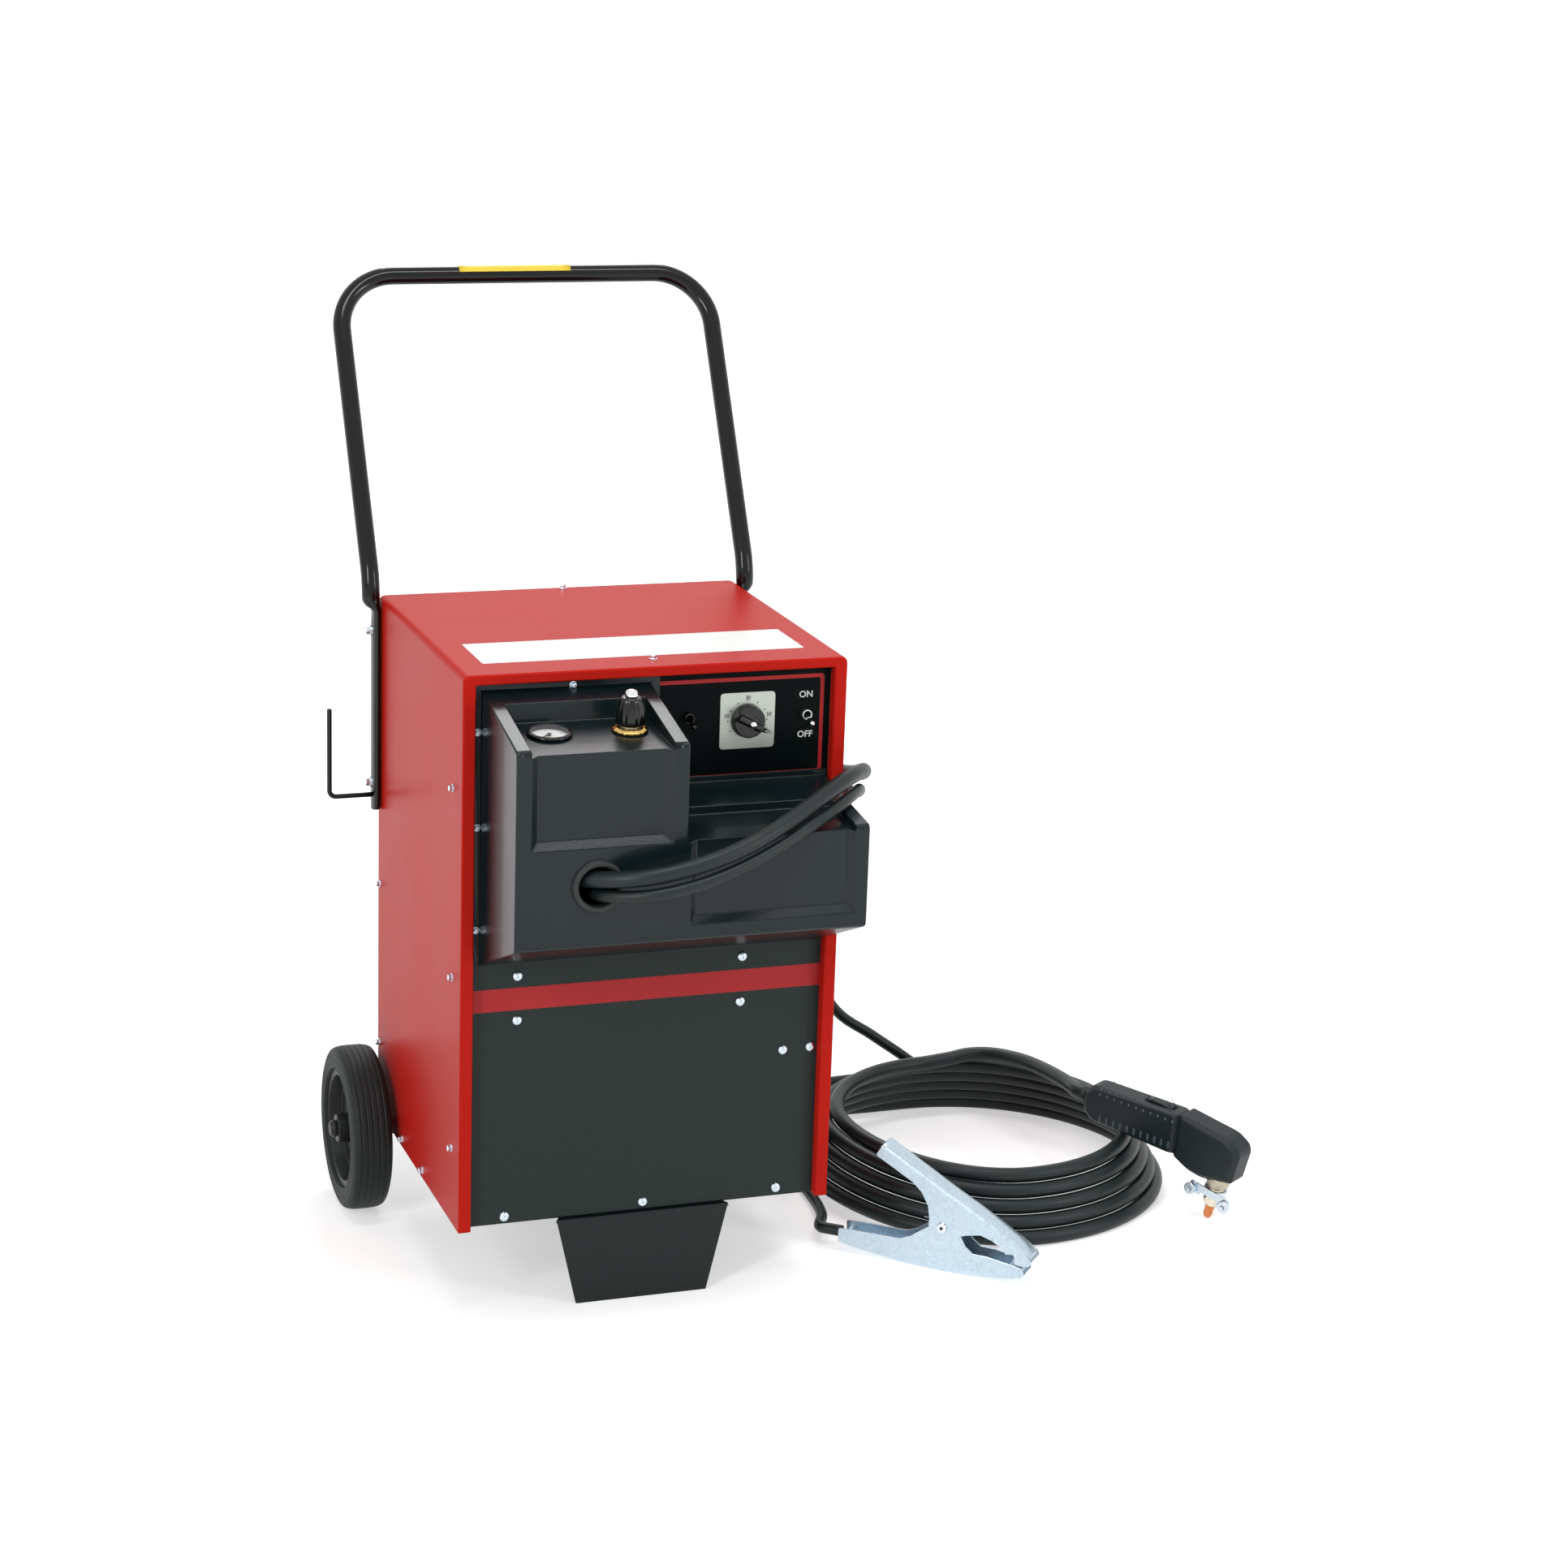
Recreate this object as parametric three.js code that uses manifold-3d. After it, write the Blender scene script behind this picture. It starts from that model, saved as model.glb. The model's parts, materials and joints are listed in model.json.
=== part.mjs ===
// A wheeled plasma cutting machine: a steel cabinet on two rear wheels and a front foot, with a
// moulded front cover, gauge and regulator, control panel, push handle, torch, work clamp and leads.
// Millimetres, +Z up, the front faces -Y. The origin is on the foot's sole, on the machine's middle
// plane and in the plane of the front panel's face, y = 0.
import * as THREE from "three";
import { mergeVertices } from "three/addons/utils/BufferGeometryUtils.js";
import Module from "manifold-3d";

const wasm = await Module();
wasm.setup();

// ---------------------------------------------------------------- driving dimensions
const FIT = 0.3; // gap between pieces that touch
const RUNNING_FIT = 0.4; // radial gap of pieces that turn

// cabinet
const CABINET_WIDTH = 450;
const CABINET_DEPTH = 406;
const CABINET_HEIGHT = 659;
const GROUND_CLEARANCE = 108;
const SHEET = 1.5;
const LIP_DEPTH = 15; // how far the front lips stand in front of the panel
const LIP_WIDTH = 15;
const LIP_THICKNESS = 6;
const WRAP_RADIUS = 8;
const TRAY_HEIGHT = 22;
const SHELF_HEIGHT = 382; // above the floor
const SHELF_FLANGE = 42;

// moulded cover
const COVER_DEPTH = 152;
const COVER_WALL = 3;
const COVER_LEFT_MARGIN = 24; // from the cabinet's side
const COVER_RIGHT_MARGIN = 18;
const COVER_TOP_MARGIN = 20;
const COVER_HEIGHT = 321;
const COVER_BOTTOM_RISE = 64; // the underside climbs this much towards the front
const TALL_WIDTH = 195;
const TALL_SLOPE = 32; // the top falls this much towards the front
const LOW_DROP = 121; // the low block's rear edge lies this much under the tall block's
const LOW_SLOPE = 17;
const COVER_FLANGE = 11;
const COVER_RADIUS = 6;
const RECESS_DEPTH = 9;
const RECESS_SIDE = 17;
const TALL_RECESS_HEIGHT = 112;
const LOW_RECESS_HEIGHT = 102;
const POCKET_TILT = THREE.MathUtils.degToRad(4.8);
const POCKET_DROP = 7.5; // floor of a pocket under the cover's front top edge
const TALL_POCKET_LENGTH = 112;
const LOW_POCKET_LENGTH = 81;
const CABLE_HOLE_RADIUS = 27;
const CABLE_HOLE_INSET = 117; // from the cabinet's left side
const CABLE_HOLE_DROP = 207; // below the cabinet's top
const GAUGE_INSET = 56; // from the cover's left side
const GAUGE_SETBACK = 72; // behind the cover's face
const REGULATOR_INSET = 48; // from the tall block's right side
const REGULATOR_SETBACK = 70;

// gauge and air regulator in the tall pocket
const GAUGE_RADIUS = 25.5;
const GAUGE_DEPTH = 24;
const NEEDLE_REST = THREE.MathUtils.degToRad(135); // from the dial's top to the zero mark
const REGULATOR_NUT_RADIUS = 20.5;
const REGULATOR_NECK_RADIUS = 12;
const REGULATOR_BODY_RADIUS = 21;
const REGULATOR_KNOB_RADIUS = 16.5;
const REGULATOR_KNOB_HEIGHT = 34;

// control panel
const SWITCH_PLATE = 66;
const AMPS_KNOB_RADIUS = 20;
const AMPS_KNOB_HEIGHT = 20;
const AMPS_SHAFT_RADIUS = 4;
const TOGGLE_RADIUS = 6;
const TOGGLE_LEVER = 17;
const TOGGLE_TILT = THREE.MathUtils.degToRad(13);
const RUN_INSET = 46; // from the tall block's right side
const POWER_INSET = 44; // from the cabinet's right side
const RUN_DROP = 65; // below the cabinet's top, as the next two
const POWER_DROP = 68;
const AMPS_DROP = 72;

// rear panel and inside
const FAN_RADIUS = 72;
const FAN_RISE = 138; // above the shelf
const LOUVRE_RISE = 112; // above the cabinet's bottom
const LOUVRE_PITCH = 18;
const LOUVRE_INNER = 30;
const REAR_INSET = 85; // mains gland and air inlet, from the cabinet's sides
const LOUVRE_INSET = 75;
const MAINS_RISE = 62;
const INLET_DROP = 127;
const SHELF_HOLE_WIDTH = 240;
const SHELF_HOLE_DEPTH = 180;
const CORE_SETBACK = 148.2; // behind the tray's front
const CORE_WIDTH = 220;
const CORE_DEPTH = 100;
const CORE_HEIGHT = 190;
const CORE_YOKE = 40;
const CORE_LIMB = 30;
const SINK_WIDTH = 92;
const SINK_DEPTH = 140;
const SINK_HEIGHT = 60;
const SINK_FINS = 9;
const BOARD_WIDTH = 140;
const BOARD_HEIGHT = 150;

// foot, axle and wheels
const FOOT_TOP_WIDTH = 210;
const FOOT_BASE_WIDTH = 160;
const FOOT_NARROW = 18; // how far each flange draws in on either side towards the rear
const FOOT_DEPTH = 44;
const FOOT_PLATE = 3;
const WHEEL_RADIUS = 101.5;
const WHEEL_WIDTH = 49;
const WHEEL_GAP = 10; // between the cabinet's side and the wheel
const RIM_RADIUS = 74;
const AXLE_RADIUS = 6;
const AXLE_INSET = 33; // from the cabinet's rear
const AXLE_CLAMP_WIDTH = 30;
const AXLE_CLAMP_INSET = 20; // from the cabinet's side

// push handle
const HANDLE_TUBE = 22;
const HANDLE_FLAT = 10.5; // thickness where the tube is pressed flat
const HANDLE_FLAT_DEPTH = 28;
const HANDLE_RISE = 357; // above the cabinet's top
const HANDLE_LEAN = THREE.MathUtils.degToRad(29.3);
const HANDLE_BEND = 70;
const HANDLE_LEG_DROP = 264; // the legs reach this far below the cabinet's top
const HANDLE_REAR_INSET = 7; // leg's centre ahead of the cabinet's rear
const HOOK_ROD = 6;
const HOOK_REACH = 51;
const HOOK_HEIGHT = 110;
const HOOK_DROP = 246;
const BOLT_RADIUS = 4;
const BOLT_DROPS = [41, 230]; // below the cabinet's top

// leads
const HOSE_DIAMETER = 19;
const LEAD_DIAMETER = 14;
const HOSE_INSET = 75; // gland, from the cabinet's left side
const HOSE_DROP = 215; // below the cabinet's top
const LEAD_INSET = 119;
const LEAD_DROP = 237;
const COIL_PITCH = 19.5; // between neighbouring turns
const COIL_LIE = THREE.MathUtils.degToRad(57.6); // each turn lies on the one under it at this slope
const COIL_LAST_LIE = THREE.MathUtils.degToRad(34.5);
const COIL_TURNS = 5;
const COIL_RADIUS = 236; // to the middle of the turn on the floor
const COIL_X = 526;
const COIL_Y = 250;

// torch
const TORCH_WIDTH = 36;
const TORCH_TALL = 52;
const TORCH_GRIP_LENGTH = 142;
const TORCH_HEAD_REACH = 204.7; // from the grip's rear to the tip's axis
const TORCH_HEAD_SINK = 20.4; // how far the head's middle lies under the grip's
const COLLAR_RADIUS = 15;

// work clamp
const CLAMP_WIDTH = 34;
const CLAMP_SHEET = 1.8;
const CLAMP_PIN_RADIUS = 4;

// ---------------------------------------------------------------- derived places
const SIDE = CABINET_WIDTH / 2;
const FRONT = -LIP_DEPTH;
const REAR = FRONT + CABINET_DEPTH;
const BOTTOM = GROUND_CLEARANCE;
const TOP = BOTTOM + CABINET_HEIGHT;
const INSIDE = SIDE - SHEET - FIT; // half width of what fits inside the wrap

const X_AXIS = new THREE.Vector3(1, 0, 0);
const Y_AXIS = new THREE.Vector3(0, 1, 0);
const Z_AXIS = new THREE.Vector3(0, 0, 1);

// ---------------------------------------------------------------- materials
const finish = (color, roughness, metalness) =>
  new THREE.MeshStandardMaterial({ color, roughness, metalness });
const redPaint = finish(0xc8323c, 0.45, 0.1);
const blackPaint = finish(0x1d2124, 0.5, 0.1);
const panelBlack = finish(0x34383b, 0.6, 0.1);
const glossBlack = finish(0x0b0d0e, 0.15, 0.1);
const mouldedBlack = finish(0x2c3134, 0.55, 0);
const rubberBlack = finish(0x2a2c2d, 0.8, 0);
const zincSteel = finish(0xc3ccd2, 0.3, 0.9);
const brightSteel = finish(0xd8dadc, 0.2, 1);
const brushedAluminium = finish(0xb9bab6, 0.4, 0.9);
const brass = finish(0xc9a558, 0.3, 1);
const copper = finish(0xb87145, 0.35, 1);
const clearLens = finish(0xdde6ea, 0.05, 0);
const steelGrey = finish(0x7d8387, 0.5, 0.8);
const boardGreen = finish(0x2c5a3c, 0.6, 0);
const windingTan = finish(0x8a5a34, 0.6, 0.2);

// ---------------------------------------------------------------- building blocks
const vec = (x, y, z) => new THREE.Vector3(x, y, z);

// A closed geometry as a solid that can be joined and cut.
function solid(geometry) {
  const bare = geometry.clone();
  bare.deleteAttribute("normal");
  bare.deleteAttribute("uv");
  const merged = mergeVertices(bare, 1e-4);
  const mesh = new wasm.Mesh({
    numProp: 3,
    vertProperties: new Float32Array(merged.attributes.position.array),
    triVerts: new Uint32Array(merged.index.array),
  });
  return new wasm.Manifold(mesh);
}

function geometryOf(body) {
  const mesh = body.getMesh();
  const geometry = new THREE.BufferGeometry();
  const positions = new Float32Array(mesh.vertProperties);
  geometry.setAttribute("position", new THREE.BufferAttribute(positions, 3));
  geometry.setIndex(new THREE.BufferAttribute(new Uint32Array(mesh.triVerts), 1));
  geometry.computeVertexNormals();
  return geometry;
}

const join = (...pieces) =>
  geometryOf(pieces.map(solid).reduce((whole, piece) => whole.add(piece)));

const cut = (base, ...tools) =>
  geometryOf(tools.map(solid).reduce((left, tool) => left.subtract(tool), solid(base)));

function box(x0, x1, y0, y1, z0, z1) {
  const geometry = new THREE.BoxGeometry(x1 - x0, y1 - y0, z1 - z0);
  return geometry.translate((x0 + x1) / 2, (y0 + y1) / 2, (z0 + z1) / 2);
}

// A shape through the given corners, each rounded by the radius, or by its own in the third place.
function roundedShape(corners, radius = 0) {
  const shape = new THREE.Shape();
  const count = corners.length;
  for (let i = 0; i < count; i++) {
    const here = new THREE.Vector2(corners[i][0], corners[i][1]);
    const before = new THREE.Vector2(...corners[(i + count - 1) % count].slice(0, 2));
    const after = new THREE.Vector2(...corners[(i + 1) % count].slice(0, 2));
    const own = corners[i][2] ?? radius;
    const limit = Math.min(here.distanceTo(before), here.distanceTo(after)) * 0.45;
    const reach = Math.min(own, limit);
    const enter = here.clone().add(before.sub(here).setLength(reach));
    const leave = here.clone().add(after.sub(here).setLength(reach));
    if (i === 0) shape.moveTo(enter.x, enter.y);
    else shape.lineTo(enter.x, enter.y);
    if (reach > 0) shape.quadraticCurveTo(here.x, here.y, leave.x, leave.y);
  }
  shape.closePath();
  return shape;
}

// A shape drawn in (y, z) and carried along X from x0 to x1, with rounded ends if bevel is given.
function alongX(shape, x0, x1, bevel = 0, segments = 3) {
  const geometry = new THREE.ExtrudeGeometry(shape, {
    depth: x1 - x0 - 2 * bevel,
    curveSegments: segments,
    bevelEnabled: bevel > 0,
    bevelSize: bevel,
    bevelThickness: bevel,
    bevelOffset: -bevel,
    bevelSegments: 2,
  });
  const toYZ = new THREE.Matrix4().makeBasis(Y_AXIS, Z_AXIS, X_AXIS);
  return geometry.applyMatrix4(toYZ).translate(x0 + bevel, 0, 0);
}

// A shape drawn in (x, z) and carried along Y from y0 to y1.
function alongY(shape, y0, y1, bevel = 0, segments = 3) {
  const geometry = new THREE.ExtrudeGeometry(shape, {
    depth: y1 - y0 - 2 * bevel,
    curveSegments: segments,
    bevelEnabled: bevel > 0,
    bevelSize: bevel,
    bevelThickness: bevel,
    bevelOffset: -bevel,
    bevelSegments: 2,
  });
  return geometry.rotateX(Math.PI / 2).translate(0, y1 - bevel, 0);
}

// A round rod between two points.
function rod(from, to, radius, sides = 12, endRadius = radius) {
  const along = to.clone().sub(from);
  const geometry = new THREE.CylinderGeometry(endRadius, radius, along.length(), sides);
  geometry.translate(0, along.length() / 2, 0);
  const turn = new THREE.Quaternion().setFromUnitVectors(Y_AXIS, along.normalize());
  return geometry.applyQuaternion(turn).translate(from.x, from.y, from.z);
}

// A profile of [radius, height] pairs turned about an axis through a point; it starts and ends on
// the axis, or closes on itself.
function turned(profile, axis = Z_AXIS, place = vec(0, 0, 0), sides = 24, phase = 0) {
  const points = profile.map(([radius, height]) => new THREE.Vector2(radius, height));
  const geometry = new THREE.LatheGeometry(points, sides, phase);
  const turn = new THREE.Quaternion().setFromUnitVectors(Y_AXIS, axis);
  geometry.applyQuaternion(turn).translate(place.x, place.y, place.z);
  return outward(geometry);
}

// A closed ring's profile: inner radius, outer radius, from and to along the axis.
const ringProfile = (inner, outer, low, high) => [
  [inner, low],
  [outer, low],
  [outer, high],
  [inner, high],
  [inner, low],
];

const discProfile = (radius, low, high) => [
  [0, low],
  [radius, low],
  [radius, high],
  [0, high],
];

// The same closed surface with its faces pointing out.
function outward(geometry) {
  const bare = geometry.clone();
  bare.deleteAttribute("normal");
  bare.deleteAttribute("uv");
  const merged = mergeVertices(bare, 1e-4);
  const position = merged.attributes.position;
  const index = merged.index.array;
  const a = vec(0, 0, 0);
  const b = vec(0, 0, 0);
  const c = vec(0, 0, 0);
  let volume = 0;
  const kept = [];
  for (let i = 0; i < index.length; i += 3) {
    const [p, q, r] = [index[i], index[i + 1], index[i + 2]];
    if (p === q || q === r || r === p) continue;
    kept.push(p, q, r);
    a.fromBufferAttribute(position, p);
    b.fromBufferAttribute(position, q);
    c.fromBufferAttribute(position, r);
    volume += a.dot(b.cross(c));
  }
  if (volume < 0) kept.reverse();
  merged.setIndex(kept);
  merged.computeVertexNormals();
  return merged;
}

// A closed tube through points. radii(i) gives its half sizes along side and across it; the side
// direction is carried along the path, starting from the one given.
function sweep(points, radii, sides, side) {
  const count = points.length;
  const positions = [];
  const index = [];
  let across = side.clone();
  points.forEach((point, i) => {
    const before = points[Math.max(i - 1, 0)];
    const after = points[Math.min(i + 1, count - 1)];
    const along = after.clone().sub(before).normalize();
    across.addScaledVector(along, -across.dot(along)).normalize();
    const other = along.clone().cross(across);
    const [ra, rb] = radii(i);
    for (let k = 0; k < sides; k++) {
      const angle = (2 * Math.PI * (k + 0.5)) / sides;
      const spot = point
        .clone()
        .addScaledVector(across, ra * Math.cos(angle))
        .addScaledVector(other, rb * Math.sin(angle));
      positions.push(spot.x, spot.y, spot.z);
    }
  });
  for (let i = 0; i + 1 < count; i++)
    for (let k = 0; k < sides; k++) {
      const next = (k + 1) % sides;
      const [a, b] = [i * sides + k, i * sides + next];
      index.push(a, b, a + sides, b, b + sides, a + sides);
    }
  for (const [ring, flip] of [
    [0, true],
    [count - 1, false],
  ]) {
    const centre = positions.length / 3;
    positions.push(points[ring].x, points[ring].y, points[ring].z);
    for (let k = 0; k < sides; k++) {
      const [a, b] = [ring * sides + k, ring * sides + ((k + 1) % sides)];
      index.push(centre, ...(flip ? [b, a] : [a, b]));
    }
  }
  const geometry = new THREE.BufferGeometry();
  geometry.setAttribute("position", new THREE.Float32BufferAttribute(positions, 3));
  geometry.setIndex(index);
  return outward(geometry);
}

const machine = new THREE.Group();

function piece(name, geometry, material, parent = machine) {
  const mesh = new THREE.Mesh(geometry, material);
  mesh.name = name;
  parent.add(mesh);
  return mesh;
}

// ---------------------------------------------------------------- cabinet
// One sheet bent to a top and two sides. The front edges turn in as flat lips and then back
// towards the panel, so that the front looks like a rounded frame.
const uShape = (half, top, inner, innerTop, radius) =>
  roundedShape([
    [-half, BOTTOM],
    [-half, top, radius],
    [half, top, radius],
    [half, BOTTOM],
    [inner, BOTTOM],
    [inner, innerTop, Math.max(radius - (half - inner), 0)],
    [-inner, innerTop, Math.max(radius - (half - inner), 0)],
    [-inner, BOTTOM],
  ]);
const lipInner = SIDE - LIP_WIDTH;
const lipTop = TOP - LIP_WIDTH + 3;
const skin = alongY(uShape(SIDE, TOP, SIDE - SHEET, TOP - SHEET, WRAP_RADIUS), FRONT + 2, REAR);
const lip = alongY(uShape(SIDE, TOP, lipInner, lipTop, WRAP_RADIUS), FRONT, FRONT + LIP_THICKNESS, 2);
const lipReturn = alongY(
  uShape(lipInner + SHEET, lipTop + SHEET, lipInner, lipTop, 0),
  FRONT + LIP_THICKNESS - 1,
  -FIT,
);
piece("cabinet_wrap", join(skin, lip, lipReturn), redPaint);

// Base tray: the pan that carries the transformer, foot and axle.
const trayFront = SHEET + FIT;
const trayRear = REAR - SHEET - 2 * FIT;
piece(
  "base_tray",
  cut(
    box(-INSIDE, INSIDE, trayFront, trayRear, BOTTOM, BOTTOM + TRAY_HEIGHT),
    box(
      -INSIDE + 2,
      INSIDE - 2,
      trayFront + 2,
      trayRear - 2,
      BOTTOM + 2,
      BOTTOM + TRAY_HEIGHT + 5,
    ),
  ),
  blackPaint,
);

// Places on the front panel that need holes: the controls beside the tall block, the glands in it.
const RUN_TOGGLE = { x: -SIDE + COVER_LEFT_MARGIN + TALL_WIDTH + RUN_INSET, z: TOP - RUN_DROP };
const POWER_TOGGLE = { x: SIDE - POWER_INSET, z: TOP - POWER_DROP };
const AMPS = { x: (RUN_TOGGLE.x + POWER_TOGGLE.x) / 2, z: TOP - AMPS_DROP };
const HOSE_GLAND = { x: -SIDE + HOSE_INSET, z: TOP - HOSE_DROP };
const LEAD_GLAND = { x: -SIDE + LEAD_INSET, z: TOP - LEAD_DROP };
const GLAND_RADIUS = 15;
const SHAFT_HOLE = AMPS_SHAFT_RADIUS + 1;
const TOGGLE_HOLE = TOGGLE_RADIUS + FIT;
const GLAND_HOLE = GLAND_RADIUS * 0.75 + FIT;

const hole = (x, z, radius, y0, y1, sides = 16) => rod(vec(x, y0, z), vec(x, y1, z), radius, sides);

const panelTop = TOP - SHEET - FIT;
const panelShape = roundedShape([
  [-INSIDE, BOTTOM + 2],
  [-INSIDE, panelTop, WRAP_RADIUS + 1],
  [INSIDE, panelTop, WRAP_RADIUS + 1],
  [INSIDE, BOTTOM + 2],
]);

piece(
  "front_panel",
  cut(
    alongY(panelShape, 0, SHEET),
    hole(AMPS.x, AMPS.z, SHAFT_HOLE, -5, 5),
    hole(RUN_TOGGLE.x, RUN_TOGGLE.z, TOGGLE_HOLE, -5, 5),
    hole(POWER_TOGGLE.x, POWER_TOGGLE.z, TOGGLE_HOLE, -5, 5),
    hole(HOSE_GLAND.x, HOSE_GLAND.z, GLAND_HOLE, -5, 5),
    hole(LEAD_GLAND.x, LEAD_GLAND.z, GLAND_HOLE, -5, 5),
  ),
  panelBlack,
);

// Middle shelf with flanges turned down all round; the red stripe runs along its front flange.
const shelfRear = REAR - SHEET - 2 * FIT;
const coreFront = trayFront + CORE_SETBACK;
piece(
  "middle_shelf",
  cut(
    box(-INSIDE, INSIDE, trayFront, shelfRear, SHELF_HEIGHT - SHELF_FLANGE, SHELF_HEIGHT),
    box(
      -INSIDE + 2,
      INSIDE - 2,
      trayFront + 2,
      shelfRear - 2,
      SHELF_HEIGHT - SHELF_FLANGE - 5,
      SHELF_HEIGHT - 2,
    ),
    box(
      -SHELF_HOLE_WIDTH / 2,
      SHELF_HOLE_WIDTH / 2,
      coreFront,
      coreFront + SHELF_HOLE_DEPTH,
      SHELF_HEIGHT - 10,
      SHELF_HEIGHT + 5,
    ),
  ),
  steelGrey,
);

// Rear panel with a round fan opening guarded by bars, louvre slots and three cable holes.
const FAN = { x: 0, z: SHELF_HEIGHT + FAN_RISE, radius: FAN_RADIUS };
const rearFace = REAR - SHEET;
const MAINS_GLAND = { x: -SIDE + REAR_INSET, z: BOTTOM + MAINS_RISE };
const AIR_INLET = { x: SIDE - REAR_INSET, z: TOP - INLET_DROP };
const louvreOuter = SIDE - LOUVRE_INSET;
const rearHoles = [];
for (let i = -4; i <= 4; i++) {
  const z = FAN.z + i * 14;
  const half = Math.sqrt(FAN.radius ** 2 - (i * 14) ** 2) - 4;
  rearHoles.push(box(FAN.x - half, FAN.x + half, REAR - 10, REAR + 5, z - 4.5, z + 4.5));
}
for (let row = 0; row < 6; row++)
  for (const side of [-1, 1]) {
    const z = BOTTOM + LOUVRE_RISE + row * LOUVRE_PITCH;
    const [x0, x1] = side < 0 ? [-louvreOuter, -LOUVRE_INNER] : [LOUVRE_INNER, louvreOuter];
    rearHoles.push(box(x0, x1, REAR - 10, REAR + 5, z - 3, z + 3));
  }
rearHoles.push(hole(MAINS_GLAND.x, MAINS_GLAND.z, 10 + FIT, REAR - 10, REAR + 5));
rearHoles.push(hole(AIR_INLET.x, AIR_INLET.z, 7 + FIT, REAR - 10, REAR + 5));
piece(
  "rear_panel",
  cut(
    alongY(panelShape, rearFace, REAR),
    ...rearHoles,
  ),
  blackPaint,
);

// ---------------------------------------------------------------- moulded front cover
// One vacuum-formed shell: a tall block and a low block on one underside, a flange all round
// against the panel, an open pocket in the top of each block, and sunk front faces.
const coverLeft = -SIDE + COVER_LEFT_MARGIN;
const coverRight = SIDE - COVER_RIGHT_MARGIN;
const coverTop = TOP - COVER_TOP_MARGIN;
const coverBottom = coverTop - COVER_HEIGHT;
const coverFace = -COVER_DEPTH;
const split = coverLeft + TALL_WIDTH;
const tallFront = coverTop - TALL_SLOPE;
const lowRear = coverTop - LOW_DROP;
const lowFront = lowRear - LOW_SLOPE;
const underFront = coverBottom + COVER_BOTTOM_RISE;

// The solid of both blocks, shrunk on every side by an inset.
function coverBody(inset, back, radius) {
  const profile = (rear, front) =>
    roundedShape([
      [back, coverBottom + inset * 1.2],
      [back, rear - inset],
      [coverFace + inset, front - inset, radius],
      [coverFace + inset, underFront + inset, radius],
    ]);
  const tall = alongX(
    profile(coverTop, tallFront),
    coverLeft + inset,
    split - inset,
    radius / 3,
  );
  const low = alongX(
    profile(lowRear, lowFront),
    coverLeft + inset + 1,
    coverRight - inset,
    radius / 3,
  );
  return join(tall, low);
}

// A pocket in a block's top: a floor that falls gently towards the front edge, and a steep rear
// wall. The wall inset widens the cutter for the shell's inner side.
function pocketCutter(x0, x1, front, length, inset) {
  const edge = coverFace - 10;
  const floor = (y) => front - POCKET_DROP + (y - coverFace) * Math.tan(POCKET_TILT) - inset;
  const rear = coverFace + length + inset;
  const shape = roundedShape([
    [edge, floor(edge)],
    [rear, floor(rear)],
    [rear + 9, coverTop + 60],
    [edge, coverTop + 60],
  ]);
  return alongX(shape, x0 - inset, x1 + inset);
}

// A recess in a block's front face: flat bottom, sides at 45 degrees, open at its upper edge.
function recessCutter(x0, x1, z0, z1, inset) {
  const deep = RECESS_DEPTH + inset;
  const floor = [
    [x0 + RECESS_DEPTH - inset, z0 + RECESS_DEPTH - inset],
    [x1 - RECESS_DEPTH + inset, z1],
  ];
  const outer = [
    [x0 - inset - 1, z0 - inset - 1],
    [x1 + inset + 1, z1],
  ];
  const corners = [];
  for (const [y, [[a, b], [c, d]]] of [
    [coverFace + deep, floor],
    [coverFace - 1, outer],
  ])
    corners.push(vec(a, y, b), vec(c, y, b), vec(c, y, d), vec(a, y, d));
  return hull(corners);
}

function hull(points) {
  const body = wasm.Manifold.hull(points.map((p) => [p.x, p.y, p.z]));
  return geometryOf(body);
}

const tallPocketX = [coverLeft + RECESS_SIDE, split - RECESS_SIDE];
const lowPocketX = [split - 10, coverRight - RECESS_SIDE];

function coverShape(inset, back, radius) {
  const tallTop = tallFront - POCKET_DROP - inset + 1;
  const lowTop = lowFront - POCKET_DROP - inset + 1;
  const lowPocket = cut(
    pocketCutter(lowPocketX[0], lowPocketX[1], lowFront, LOW_POCKET_LENGTH, inset),
    box(-400, split + inset + 0.01, -400, 100, 0, 900),
  );
  return cut(
    coverBody(inset, back, radius),
    pocketCutter(tallPocketX[0], tallPocketX[1], tallFront, TALL_POCKET_LENGTH, inset),
    lowPocket,
    recessCutter(
      tallPocketX[0],
      tallPocketX[1],
      tallFront - TALL_RECESS_HEIGHT,
      tallTop + 30,
      inset,
    ),
    recessCutter(
      split + 4,
      coverRight - 14,
      lowFront - LOW_RECESS_HEIGHT,
      lowTop + 30,
      inset,
    ),
  );
}

const coverBack = -FIT;
const flangeHalf = lipInner - 2 * FIT;
const flangeShape = roundedShape([
  [-flangeHalf, coverBottom, 22],
  [-flangeHalf, coverTop + 7, 4],
  [split + COVER_FLANGE, coverTop + 7, 4],
  [split + COVER_FLANGE, lowRear + 7],
  [flangeHalf, lowRear + 7, 4],
  [flangeHalf, coverBottom, 22],
]);
const GAUGE = { x: coverLeft + GAUGE_INSET, y: coverFace + GAUGE_SETBACK };
const REGULATOR = { x: split - REGULATOR_INSET, y: coverFace + REGULATOR_SETBACK };
const tallFloorAt = (y) =>
  tallFront - POCKET_DROP + (y - coverFace) * Math.tan(POCKET_TILT);
const CABLE_HOLE = { x: -SIDE + CABLE_HOLE_INSET, z: TOP - CABLE_HOLE_DROP };
const coverOuter = join(
  coverShape(0, coverBack, COVER_RADIUS),
  alongY(flangeShape, coverBack - COVER_WALL, coverBack),
);
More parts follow.
